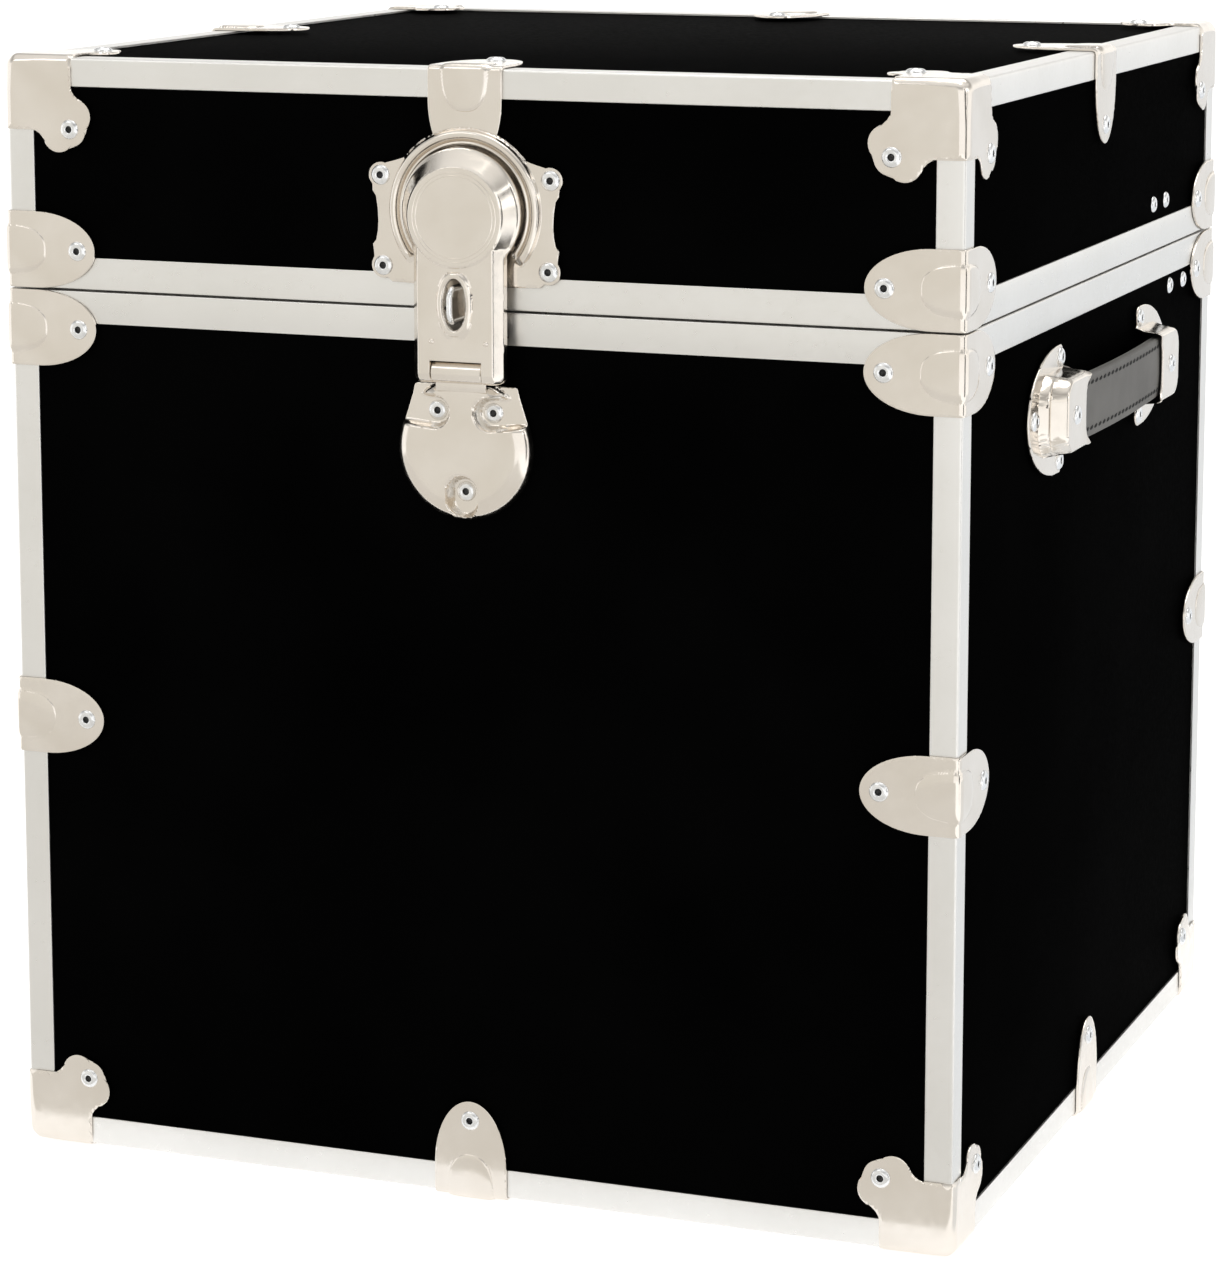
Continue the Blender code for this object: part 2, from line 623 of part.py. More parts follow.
def handle_loop():
    """The rear loop of the right handle: a riveted crescent with a pocket that holds the strap's end."""
    z = FOOT + HANDLE_Z
    along, across = LOOP_SPREAD
    turns = [math.radians(angle) for angle in range(0, 91, 15)]
    nose = [(LOOP_END - along * (1 - math.cos(t)), across * math.sin(t)) for t in turns]
    half = nose + LOOP_INNER
    outline = half + [(u, -v) for u, v in reversed(half[1:])]
    loop = plate("loop_pattern", [(u, z + v) for u, v in reversed(outline)], SHEET, RIGHT, HALF + CLEAR)
    near, far = BRIDGE
    sides = (z - BRIDGE_HALF, z + BRIDGE_HALF)
    inner_sides = (sides[0] + SHEET, sides[1] - SHEET)
    join(loop, box("loop_bridge", (HALF + CLEAR, HALF + BRIDGE_OUT), BRIDGE, sides))
    pocket_x = (HALF - OVERCUT, HALF + BRIDGE_OUT - SHEET)
    cut(loop, box("loop_pocket", pocket_x, (near - OVERCUT, far - SHEET), inner_sides))
    for u, v in LOOP_RIVETS:
        join(loop, rivet("loop_rivet", (HALF + SKIN, u, z + v), (1, 0, 0)))
    join(loop, rivet("loop_bridge_rivet", (HALF + BRIDGE_OUT, BRIDGE_RIVET, z), (1, 0, 0)))
    return finish(baked(loop), "loop_pattern", NICKEL)


def handle_grip(name):
    """The strap, bowed outwards between its two loops."""
    bow = [(u / 100, GRIP_OUT + GRIP_BOW * math.cos(math.radians(u * 9))) for u in range(-10, 11, 2)]
    back = [(HALF + out - GRIP_BACK, y) for y, out in bow]
    front = [(HALF + out + GRIP_FRONT, y) for y, out in reversed(bow)]
    grip = plate(name, back + front, GRIP_WIDTH, FLAT, FOOT + HANDLE_Z - GRIP_WIDTH / 2)
    return finish(grip, name, LEATHER)


def handle(side, turn):
    """One handle: a leather grip held by two riveted loops. The left one is the right one turned half round."""
    loop = handle_loop()
    copy_of(loop, f"{side}_handle_rear_loop", turn)
    copy_of(loop, f"{side}_handle_front_loop", turn @ Matrix.Scale(-1, 4, (0, 1, 0)))
    bpy.data.objects.remove(loop)
    handle_grip(f"{side}_handle_grip").matrix_world = turn


def hinge_leaf(name, own, side):
    """One leaf of the piano hinge: a riveted strip, and the knuckles whose number matches own."""
    pitch = 2 * HINGE_HALF / HINGE_KNUCKLES
    back = (HALF + CLEAR, HALF + CLEAR + HINGE_LEAF)
    near = AXIS.z + side * HINGE_LEAF_NEAR
    leaf_z = sorted((near, AXIS.z + side * HINGE_LEAF_FAR))
    web_z = sorted((near, AXIS.z + side * HINGE_WEB))
    strip = box(name, (-HINGE_HALF, HINGE_HALF), back, leaf_z)
    for number in range(own, HINGE_KNUCKLES, 2):
        start = -HINGE_HALF + number * pitch + CLEAR / 2
        end = start + pitch - CLEAR
        join(strip, box("hinge_web", (start, end), (HALF + CLEAR, AXIS.y), web_z))
        ends = (start, AXIS.y, AXIS.z), (end, AXIS.y, AXIS.z)
        join(strip, rod("hinge_roll", *ends, KNUCKLE_RADIUS, HINGE_ROLL_SIDES))
    for number in range(HINGE_RIVETS):
        x = HINGE_RIVET_FIRST + HINGE_RIVET_PITCH * number
        join(strip, rivet("hinge_rivet", (x, back[1], AXIS.z + side * HINGE_RIVET_OFF), (0, 1, 0), 8))
    bore = (-SIDE, AXIS.y, AXIS.z), (SIDE, AXIS.y, AXIS.z)
    cut(strip, rod(name + "_bore", *bore, HINGE_PIN_RADIUS + CLEAR, 8))
    return finish(strip, name, ZINC)


def hinge():
    hinge_leaf("hinge_body_leaf", 0, -1)
    hinge_leaf("hinge_lid_leaf", 1, 1)
    ends = (-HINGE_HALF, AXIS.y, AXIS.z), (HINGE_HALF, AXIS.y, AXIS.z)
    finish(rod("hinge_pin", *ends, HINGE_PIN_RADIUS, 8), "hinge_pin", ZINC)


def stay_arm(name, start, end, inset, holes):
    """A flat arm from start to end, as (y, z), at a depth inside the right wall."""
    start, end = Vector(start), Vector(end)
    along = math.degrees(math.atan2(end.y - start.y, end.x - start.x))
    outline = arc(end, ARM_HALF, along - 90, along + 90, 8) + arc(start, ARM_HALF, along + 90, along + 270, 8)
    arm = plate(name, outline, ARM, RIGHT, HALF - inset - ARM)
    for y, z in holes:
        cut(arm, rod(name + "_hole", (0, y, z), (HALF, y, z), ARM_HOLE))
    return arm


def stay_bracket(name, pivot, reach):
    """A plate on the right wall's inside, with the stud that its arm turns on."""
    y, z = pivot
    along, tall = BRACKET
    inside = WALL_INSIDE - CLEAR
    base = box(name, (inside - ARM, inside), (y - along, y + along), (z - tall, z + tall))
    stud = rod(name + "_stud", (inside, y, z), (reach, y, z), STUD)
    return finish(join(base, stud), name, ZINC)


def lid_stay():
    """Two arms that fold as the lid shuts: with the lid's hinge they make a parallelogram."""
    body_pivot = (STAY_BODY_PIVOT[0], SPLIT + STAY_BODY_PIVOT[1])
    lid_pivot = (STAY_LID_PIVOT[0], SPLIT + STAY_LID_PIVOT[1])
    elbow = (body_pivot[0] + lid_pivot[0] - AXIS.y, body_pivot[1] + lid_pivot[1] - AXIS.z)
    upper_inset = STAY_INSET + ARM + ARM_GAP
    stud_end = HALF - upper_inset - ARM - STUD_PROUD
    stay_bracket("stay_body_bracket", body_pivot, HALF - STAY_INSET - ARM - CLEAR)
    stay_bracket("stay_lid_bracket", lid_pivot, stud_end)
    lower = stay_arm("stay_lower_arm", body_pivot, elbow, STAY_INSET, [body_pivot])
    join(lower, rod("stay_elbow", (HALF - STAY_INSET - ARM / 2, *elbow), (stud_end, *elbow), STUD))
    set_origin(finish(lower, "stay_lower_arm", ZINC), (HALF - STAY_INSET, *body_pivot))
    upper = stay_arm("stay_upper_arm", lid_pivot, elbow, upper_inset, [lid_pivot, elbow])
    set_origin(finish(upper, "stay_upper_arm", ZINC), (HALF - upper_inset, *lid_pivot))


def set_origin(obj, point):
    """Moves the object's origin to the point, and leaves its shape where it is."""
    baked(obj)
    obj.data.transform(Matrix.Translation(-Vector(point)))
    obj.location = point


def hang_on(axis_name, point, names):
    """Parents the pieces of a moving body to an empty on its joint's axis."""
    axis = bpy.data.objects.new(axis_name, None)
    PARTS.objects.link(axis)
    axis.location = point
    bpy.context.view_layer.update()
    for obj in PARTS.objects:
        if obj.name.startswith(names) and obj is not axis:
            obj.parent = axis
            obj.matrix_parent_inverse = axis.matrix_world.inverted()


def centre_on_origin():
    """Slides everything along Y until the overall box is centred on the origin."""
    front = HALF + STAPLE_OUT
    back = HALF + HINGE_OFFSET + KNUCKLE_RADIUS * math.cos(math.radians(180 / HINGE_ROLL_SIDES))
    shift = (front - back) / 2
    for obj in list(PARTS.objects) + list(CUTTERS.objects):
        if obj.parent is None:
            obj.location.y += shift


def main():
    panels()
    edging()
    caps_and_clamps()
    lid_lock_plate()
    staple()
    body_lock_plate()
    hasp()
    hasp_pin()
    handle("right", Matrix.Identity(4))
    handle("left", quarter(2))
    hinge()
    lid_stay()
    hang_on("lid_axis", AXIS, ("lid_", "top_clamp_", "staple", "hinge_lid_leaf", "stay_lid_bracket"))
    hang_on("hasp_axis", (0, front_depth(HASP_AXIS_OUT), FOOT + HASP_AXIS_Z), ("hasp",))
    centre_on_origin()


main()
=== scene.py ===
"""The looks of the footlocker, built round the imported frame.

Shapes are written in millimetres about the trunk's own centre, and become metres in mesh_of().
"""

import json
import math

import bmesh
import bpy
import numpy as np
from mathutils import Matrix, Vector
from mathutils.geometry import delaunay_2d_cdt

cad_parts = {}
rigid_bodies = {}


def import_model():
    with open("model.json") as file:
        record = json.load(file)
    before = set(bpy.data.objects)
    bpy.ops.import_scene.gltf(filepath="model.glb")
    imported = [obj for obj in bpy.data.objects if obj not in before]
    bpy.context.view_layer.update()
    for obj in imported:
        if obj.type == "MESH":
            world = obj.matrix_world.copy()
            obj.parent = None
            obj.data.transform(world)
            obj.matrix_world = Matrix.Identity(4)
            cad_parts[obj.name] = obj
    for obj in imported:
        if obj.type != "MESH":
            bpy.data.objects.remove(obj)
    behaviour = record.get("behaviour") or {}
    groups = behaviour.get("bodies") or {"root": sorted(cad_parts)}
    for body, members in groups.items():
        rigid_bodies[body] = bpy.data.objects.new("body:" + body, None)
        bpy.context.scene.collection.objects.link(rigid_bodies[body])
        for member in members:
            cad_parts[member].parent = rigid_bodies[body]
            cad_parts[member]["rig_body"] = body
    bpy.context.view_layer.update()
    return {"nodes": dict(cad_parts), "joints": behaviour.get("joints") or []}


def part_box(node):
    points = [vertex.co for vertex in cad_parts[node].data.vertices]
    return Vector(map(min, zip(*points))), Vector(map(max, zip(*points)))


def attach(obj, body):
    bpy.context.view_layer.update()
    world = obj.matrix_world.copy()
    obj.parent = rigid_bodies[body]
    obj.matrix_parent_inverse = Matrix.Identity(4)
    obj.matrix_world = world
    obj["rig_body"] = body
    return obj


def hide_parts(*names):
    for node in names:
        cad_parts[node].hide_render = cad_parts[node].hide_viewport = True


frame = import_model()
NODES = frame["nodes"]
MM = 0.001


def span(node):
    """A CAD node's lowest and highest corner, in millimetres."""
    low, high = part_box(node)
    return low / MM, high / MM


# Read from the frame, in millimetres.
LOW, HIGH = span("base_edging")
HALF = HIGH.x
CENTRE_Y = (LOW.y + HIGH.y) / 2
FOOT = LOW.z
TOP = span("lid_edging")[1].z
LID_BOTTOM = span("lid_rim_edging")[0].z
TONGUE_TOP = span("body_rim_edging")[1].z
HOME = Matrix.Translation((0, CENTRE_Y * MM, 0))
PIVOTS = {joint["name"]: Vector(joint["pos_m"]) / MM for joint in frame["joints"]}

# Sheet metal, boards and fixings, in millimetres.
SPLIT_GAP = 0.8
BODY_TOP = LID_BOTTOM - SPLIT_GAP
SHEET = 1.2
CLEAR = 0.3
SKIN = SHEET + CLEAR
PLY = 9.5
LAMINATE = 0.7
WALL_INSIDE = HALF - SKIN - PLY
FLANGE = 14.2
VALANCE = 16.0
TONGUE_OUTER = WALL_INSIDE - 0.7
EDGING_FOLD = 1.5
STRIP_END = 12.0
CLAMP_HALF = 19.25
CLAMP_LENGTH = 48.0
CLAMP_STRAIGHT = 15.0
CLAMP_RIVET = 38.2
CLAMP_FOLD = 3.0
BULGE_LONG = 22.0
BULGE_HALF = 12.2
BULGE_HEIGHT = 1.1
BULGE_WALL = 5.0
BULGE_POWER = 2.6
OVAL_POINTS = 96
MID_CLAMP_HEIGHT = 224.5
CAP_ARM = 36.0
CAP_RIVET = 35.3
CAP_FOLD = 5.0
CAP_NOSE = 1.6                       # added to the fold at the cap's outermost point
CAP_NOSE_REACH = 24.0
EDGE_ROLL = 0.45

# The lock. Heights here and on the handles are above the edging's underside.
LOCK_Z = 491.0
LOCK_EARS = ((42.9, 463.3), (44.1, 507.0))
LOCK_EAR = 6.3
LOCK_CROWN = 40.3
OUTER_BEAD = (36.8, 2.5, 3.2)        # radius, half its width, and height
INNER_BEAD = (32.8, 1.4, 2.0)
BEAD_REACH = 132                     # degrees from the top to each end of the beads
BEAD_FADE = 7
LOCK_CLAMP_CUT = 39.7
DISH_RADIUS = 30.9
DISH_FOOT = 30.3
DISH_BACK = 7.2
DISC_Z = 489.2
DISC_RADIUS = 24.6
DISC_PROUD = 0.6
DISC_RINGS = (21.6, 19.9)
PIPS = ((-12.2, 429.2), (16.0, 429.2))
SLOT_Z = 447.4
SLOT = (5.8, 12.2)                   # half its width and height
SLOT_LIP = 3.2
SLOT_LIP_HEIGHT = 1.6
SLOT_POINTS = 44
HASP_PIN_Z = 414.0
HASP_PIN_OUT = 9.2
HASP_HALF = 23.4
HASP_FACE = 14.7
HASP_BACK = 5.8
HASP_WALL = 1.4
HASP_CORNER = 4.0
STRAP_FLAT = 19.0
STRAP_ROUND = 0.8
STRAP_FLARE = 1.25
KNUCKLE = 5.3
KNUCKLE_REACH = 13.1
STAPLE_OUT = -(span("staple")[0].y - CENTRE_Y) - HALF
STAPLE_RISE = 9.6
STAPLE_WIRE = 1.45
LOW_PLATE_Z = 376.0
LOW_RADIUS = 34.8
LOW_RIVETS = ((-14.6, 394.0), (14.6, 394.0), (0.0, 355.0))
LOW_DEPTH = 6.6
LOW_SHOULDER = 9.5
LOW_NECK = (397.0, 389.0, 31.4, 0.24)     # where it starts, then where from and how fast its sides close in
POCKET_FLOOR = 5.9
POCKET_WALL = 2.9
POCKET_RUN = 4.5                     # how far the lowest pocket runs below its rivet

CORNERS = ("front_right", "rear_right", "rear_left", "front_left")
SIDES = ("front", "right", "rear", "left")


# ---------------------------------------------------------------- materials


def surface(name, colour, metallic, roughness, specular=0.5):
    made = bpy.data.materials.new(name)
    made.use_nodes = True
    made.diffuse_color = (*colour, 1)
    shader = made.node_tree.nodes["Principled BSDF"]
    shader.inputs["Base Color"].default_value = (*colour, 1)
    shader.inputs["Metallic"].default_value = metallic
    shader.inputs["Roughness"].default_value = roughness
    shader.inputs["Specular IOR Level"].default_value = specular
    return made, shader


def pattern(made, kind, scale, stretch=(1, 1, 1), detail=3.0):
    """A noise or cell texture in the piece's own coordinates, and its grey output."""
    nodes, links = made.node_tree.nodes, made.node_tree.links
    where = nodes.new("ShaderNodeTexCoord")
    mapping = nodes.new("ShaderNodeMapping")
    mapping.inputs["Scale"].default_value = stretch
    texture = nodes.new(kind)
    texture.inputs["Scale"].default_value = scale
    if "Detail" in texture.inputs:
        texture.inputs["Detail"].default_value = detail
    links.new(where.outputs["Object"], mapping.inputs["Vector"])
    links.new(mapping.outputs["Vector"], texture.inputs["Vector"])
    return texture.outputs["Distance" if kind == "ShaderNodeTexVoronoi" else "Fac"]


def ramp(made, source, socket, stops):
    """Colours the socket from the source. Each stop is a place from 0 to 1 and a colour or a grey."""
    nodes, links = made.node_tree.nodes, made.node_tree.links
    colours = nodes.new("ShaderNodeValToRGB")
    band = colours.color_ramp
    while len(band.elements) < len(stops):
        band.elements.new(0.5)
    for element, (place, colour) in zip(band.elements, stops):
        element.position = place
        element.color = (*colour, 1) if isinstance(colour, tuple) else (colour, colour, colour, 1)
    links.new(source, colours.inputs["Fac"])
    links.new(colours.outputs["Color"], socket)


def relief(made, shader, source, depth, strength=1.0, under=None):
    """Bump of that depth in millimetres, over another bump if one is given."""
    nodes, links = made.node_tree.nodes, made.node_tree.links
    bump = nodes.new("ShaderNodeBump")
    bump.inputs["Distance"].default_value = depth * MM
    bump.inputs["Strength"].default_value = strength
    links.new(source, bump.inputs["Height"])
    if under:
        links.new(under.outputs["Normal"], bump.inputs["Normal"])
    links.new(bump.outputs["Normal"], shader.inputs["Normal"])
    return bump


def laminate():
    made, shader = surface("black_laminate", (0.001, 0.001, 0.001), 0.0, 0.5, 0.0003)
    cloud = pattern(made, "ShaderNodeTexNoise", 9.0)
    ramp(made, cloud, shader.inputs["Base Color"], [(0.3, 0.0006), (0.7, 0.0012)])
    grain = pattern(made, "ShaderNodeTexNoise", 420.0)
    ramp(made, grain, shader.inputs["Roughness"], [(0.3, 0.46), (0.7, 0.6)])
    pebble = pattern(made, "ShaderNodeTexVoronoi", 1100.0)
    relief(made, shader, pebble, 0.12, 0.6)
    return made


def plywood(name, across):
    """Birch, with its grain drawn out along all but the axis that across stretches."""
    made, shader = surface(name, (0.62, 0.47, 0.31), 0.0, 0.6, 0.3)
    figure = pattern(made, "ShaderNodeTexNoise", 7.0, across, 6.0)
    pale, dark = (0.70, 0.55, 0.37), (0.47, 0.33, 0.20)
    ramp(made, figure, shader.inputs["Base Color"], [(0.32, dark), (0.5, (0.60, 0.45, 0.29)), (0.72, pale)])
    pores = pattern(made, "ShaderNodeTexNoise", 10.0, across, 4.0)
    ramp(made, pores, shader.inputs["Roughness"], [(0.3, 0.52), (0.7, 0.72)])
    relief(made, shader, pores, 0.1, 0.5)
    return made


def aluminium():
    made, shader = surface("satin_aluminium", (0.80, 0.79, 0.77), 1.0, 0.34)
    mottle = pattern(made, "ShaderNodeTexNoise", 260.0, detail=5.0)
    ramp(made, mottle, shader.inputs["Roughness"], [(0.3, 0.27), (0.7, 0.42)])
    tone = pattern(made, "ShaderNodeTexNoise", 14.0)
    ramp(made, tone, shader.inputs["Base Color"], [(0.3, (0.78, 0.77, 0.745)), (0.7, (0.83, 0.82, 0.80))])
    relief(made, shader, mottle, 0.03, 0.45)
    return made


def nickel():
    made, shader = surface("nickel_plate", (0.80, 0.745, 0.68), 1.0, 0.16)
    cloud = pattern(made, "ShaderNodeTexNoise", 36.0)
    ramp(made, cloud, shader.inputs["Base Color"], [(0.3, (0.77, 0.715, 0.645)), (0.7, (0.83, 0.78, 0.72))])
    smear = pattern(made, "ShaderNodeTexNoise", 180.0, detail=5.0)
    ramp(made, smear, shader.inputs["Roughness"], [(0.3, 0.11), (0.7, 0.22)])
    peel = pattern(made, "ShaderNodeTexNoise", 240.0, detail=1.0)
    relief(made, shader, peel, 0.025, 0.5)
    return made


def zinc():
    made, shader = surface("bright_zinc", (0.84, 0.845, 0.85), 1.0, 0.2)
    cloud = pattern(made, "ShaderNodeTexNoise", 300.0)
    ramp(made, cloud, shader.inputs["Base Color"], [(0.3, (0.76, 0.77, 0.78)), (0.7, (0.91, 0.915, 0.92))])
    ramp(made, cloud, shader.inputs["Roughness"], [(0.3, 0.14), (0.7, 0.3)])
    relief(made, shader, cloud, 0.04, 0.4)
    return made


def painted_hollow_shade():
    """The inside of a rivet's shank, painted near-black as its shade."""
    made, shader = surface("rivet_hollow_painted_shade", (0.03, 0.03, 0.035), 0.6, 0.6)
    cloud = pattern(made, "ShaderNodeTexNoise", 700.0)
    ramp(made, cloud, shader.inputs["Base Color"], [(0.3, 0.012), (0.7, 0.07)])
    return made


def leather():
    made, shader = surface("black_leather", (0.115, 0.11, 0.1), 0.0, 0.5, 0.45)
    wear = pattern(made, "ShaderNodeTexNoise", 30.0)
    ramp(made, wear, shader.inputs["Base Color"], [(0.3, (0.085, 0.081, 0.075)), (0.7, (0.12, 0.116, 0.108))])
    grain = pattern(made, "ShaderNodeTexVoronoi", 1500.0)
    ramp(made, grain, shader.inputs["Roughness"], [(0.0, 0.45), (0.6, 0.62)])
    fine = relief(made, shader, grain, 0.10, 0.5)
    creases = pattern(made, "ShaderNodeTexNoise", 420.0, (1.0, 0.35, 1.0), 4.0)
    relief(made, shader, creases, 0.10, 0.35, fine)
    return made


def thread():
    made, shader = surface("black_thread", (0.012, 0.012, 0.012), 0.0, 0.65, 0.3)
    twist = pattern(made, "ShaderNodeTexNoise", 2600.0, (1.0, 0.3, 1.0))
    ramp(made, twist, shader.inputs["Base Color"], [(0.3, 0.006), (0.7, 0.022)])
    relief(made, shader, twist, 0.05, 0.7)
    return made


LAMINATE_SKIN = laminate()
UPRIGHT_BIRCH = plywood("birch_plywood", (1.0, 1.0, 16.0))
LEVEL_BIRCH = plywood("birch_plywood_level", (1.0, 16.0, 1.0))
ALUMINIUM = aluminium()
NICKEL = nickel()
ZINC = zinc()
HOLLOW_SHADE = painted_hollow_shade()
LEATHER = leather()
THREAD = thread()


# ------------------------------------------------------------------- meshes


def mesh_of(name, points, faces, *materials, second=None, sharp=38):
    """A smooth-shaded closed mesh from millimetres.

    second says, for each face, whether it takes the second material.
    """
    mesh = bpy.data.meshes.new(name)
    mesh.from_pydata([Vector(point) * MM for point in points], [], faces)
    if second:
        mesh.polygons.foreach_set("material_index", [int(flag) for flag in second])
    bm = bmesh.new()
    bm.from_mesh(mesh)
    bmesh.ops.recalc_face_normals(bm, faces=bm.faces)
    bm.to_mesh(mesh)
    bm.free()
    for material in materials:
        mesh.materials.append(material)
    mesh.shade_smooth()
    mesh.set_sharp_from_angle(angle=math.radians(sharp))
    return mesh


def piece(name, mesh, node, matrix=None, stands_for=False):
    """Puts a mesh in place, on the body that carries the CAD node."""
    obj = bpy.data.objects.new(name, mesh)
    bpy.context.scene.collection.objects.link(obj)
    obj.matrix_world = HOME @ (matrix or Matrix.Identity(4))
    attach(obj, NODES[node]["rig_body"])
    if stands_for:
        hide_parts(node)
    return obj


def solid(name, shape, material, node, stands_for=True, sharp=38):
    """A piece made of one shape, of points and faces, in one material."""
    return piece(name, mesh_of(name, *shape, material, sharp=sharp), node, None, stands_for)


def move(x, y, z):
    return Matrix.Translation((x * MM, y * MM, z * MM))


def quarter(step):
    return Matrix.Rotation(math.radians(90 * step), 4, "Z")


def arc(centre, radius, start, end, count):
    """Points along an arc, angles in degrees."""
    angles = [math.radians(start + (end - start) * i / (count - 1)) for i in range(count)]
    return [(centre[0] + radius * math.cos(t), centre[1] + radius * math.sin(t)) for t in angles]


def turns(start, end, step):
    """Angles in radians, for whole degrees from start to end."""
    return [math.radians(a) for a in range(start, end + 1, step)]


def double_ended(half):
    """A turned profile of (radius, distance along) whose far half is given, with its near half added."""
    return [(radius, -x) for radius, x in reversed(half)] + half


def mirrored(half):
    """The outline whose right half runs from the bottom to the top."""
    return half + [(-a, b) for a, b in reversed(half) if abs(a) > 1e-9]


def smooth(x):
    x = min(max(x, 0.0), 1.0)
    return x * x * (3 - 2 * x)


def dome(x):
    """1 at 0, falling to 0 at 1 as a quarter circle."""
    return math.sqrt(max(0.0, 1 - x * x))


def steps(start, end, pitch):
    count = max(1, round(abs(end - start) / pitch))
    return [start + (end - start) * i / count for i in range(count + 1)]


def finer(outline, longest):
    """The same closed outline with long straights divided."""
    made = []
    for a, b in zip(outline, outline[1:] + outline[:1]):
        count = max(1, math.ceil(math.dist(a, b) / longest))
        made += [(a[0] + (b[0] - a[0]) * i / count, a[1] + (b[1] - a[1]) * i / count) for i in range(count)]
    return made


def loft(rings, closed=False):
    """Points and faces of a tube through rings of the same count, capped at both ends unless it is closed."""
    count = len(rings[0])
    points = [point for ring in rings for point in ring]
    faces = []
    for row in range(len(rings) if closed else len(rings) - 1):
        a, b = row * count, (row + 1) % len(rings) * count
        faces += [(a + i, a + (i + 1) % count, b + (i + 1) % count, b + i) for i in range(count)]
    if not closed:
        faces += [tuple(range(count))[::-1], tuple(range(len(points) - count, len(points)))]
    return points, faces


def merged(shapes):
    """Several (points, faces) as one."""
    points, faces = [], []
    for more_points, more_faces in shapes:
        start = len(points)
        points += more_points
        faces += [tuple(i + start for i in face) for face in more_faces]
    return points, faces


def rounded_box(low, high, edge, rounds=2):
    """Points and faces of a box with rounded edges."""
    bm = bmesh.new()
    bmesh.ops.create_cube(bm, size=1)
    for vert in bm.verts:
        vert.co = [low[k] if vert.co[k] < 0 else high[k] for k in range(3)]
    bmesh.ops.bevel(bm, geom=bm.edges[:], offset=edge, segments=rounds, profile=0.5, affect="EDGES")
    bm.verts.index_update()
    made = [vert.co.copy() for vert in bm.verts], [tuple(v.index for v in face.verts) for face in bm.faces]
    bm.free()
    return made


def turned(profile, at, outward, sides=28):
    """Points and faces of a profile of (radius, height) turned about an axis through a point."""
    place = Matrix.Translation(at) @ Vector(outward).to_track_quat("Z", "Y").to_matrix().to_4x4()
    rings = []
    for radius, height in profile:
        circle = [math.tau * i / sides for i in range(sides)]
        rings.append([place @ Vector((radius * math.cos(t), radius * math.sin(t), height)) for t in circle])
    return loft(rings)


def swept(path, radius, sides=14):
    """Points and faces of a round wire along a path."""
    rings = []
    side = None
    for i, point in enumerate(path):
        ahead = (path[min(i + 1, len(path) - 1)] - path[max(i - 1, 0)]).normalized()
        if side is None:
            side = ahead.orthogonal().normalized()
        side = (side - ahead * side.dot(ahead)).normalized()
        other = ahead.cross(side)
        turns = [math.tau * k / sides for k in range(sides)]
        rings.append([point + (side * math.cos(t) + other * math.sin(t)) * radius for t in turns])
    return loft(rings)


def gap_to(points, loop):
    """For each point, whether it is inside the loop and how far it is from its line."""
    a = np.array(loop)
    d = np.roll(a, -1, axis=0) - a
    p = np.array(points)[:, None, :]
    along = np.clip(((p - a) * d).sum(-1) / (d * d).sum(-1), 0, 1)
    gap = np.linalg.norm(p - (a + along[..., None] * d), axis=-1).min(1)
    straddles = (a[:, 1] > p[..., 1]) != (a[:, 1] + d[:, 1] > p[..., 1])
    crossing = a[:, 0] + (p[..., 1] - a[:, 1]) * d[:, 0] / np.where(d[:, 1] == 0, 1e-12, d[:, 1])
    inside = (straddles & (p[..., 0] < crossing)).sum(1) % 2 == 1
    return inside, gap


def grid(us, vs):
    return [(u, v) for u in us for v in vs]


def inset(loop, distance):
    """The loop moved inwards; it runs anticlockwise."""
    made = []
    for i, (u, v) in enumerate(loop):
        before, after = Vector(loop[i - 1]), Vector(loop[(i + 1) % len(loop)])
        run = (after - before).normalized()
        made.append((u - run.y * distance, v + run.x * distance))
    return made


def triangles(loops, inner, holes=()):
    """Delaunay triangles inside the first loop, as (flat points, faces, index of each loop point)."""
    flat, edges = [], []
    for loop in loops:
        start = len(flat)
        flat += [Vector(point) for point in loop]
        edges += [(start + i, start + (i + 1) % len(loop)) for i in range(len(loop))]
    flat += [Vector(point) for point in inner]
    verts, _, faces, origin, _, _ = delaunay_2d_cdt(flat, edges, [], 1, 1e-5)
    where = {first: new for new, olds in enumerate(origin) for first in olds}
    if holes:
        middles = [sum((verts[i] for i in face), Vector((0, 0))) / 3 for face in faces]
        lost = np.zeros(len(faces), bool)
        for hole in holes:
            lost |= gap_to([tuple(m) for m in middles], hole)[0]
        faces = [face for face, gone in zip(faces, lost) if not gone]
    return verts, faces, where


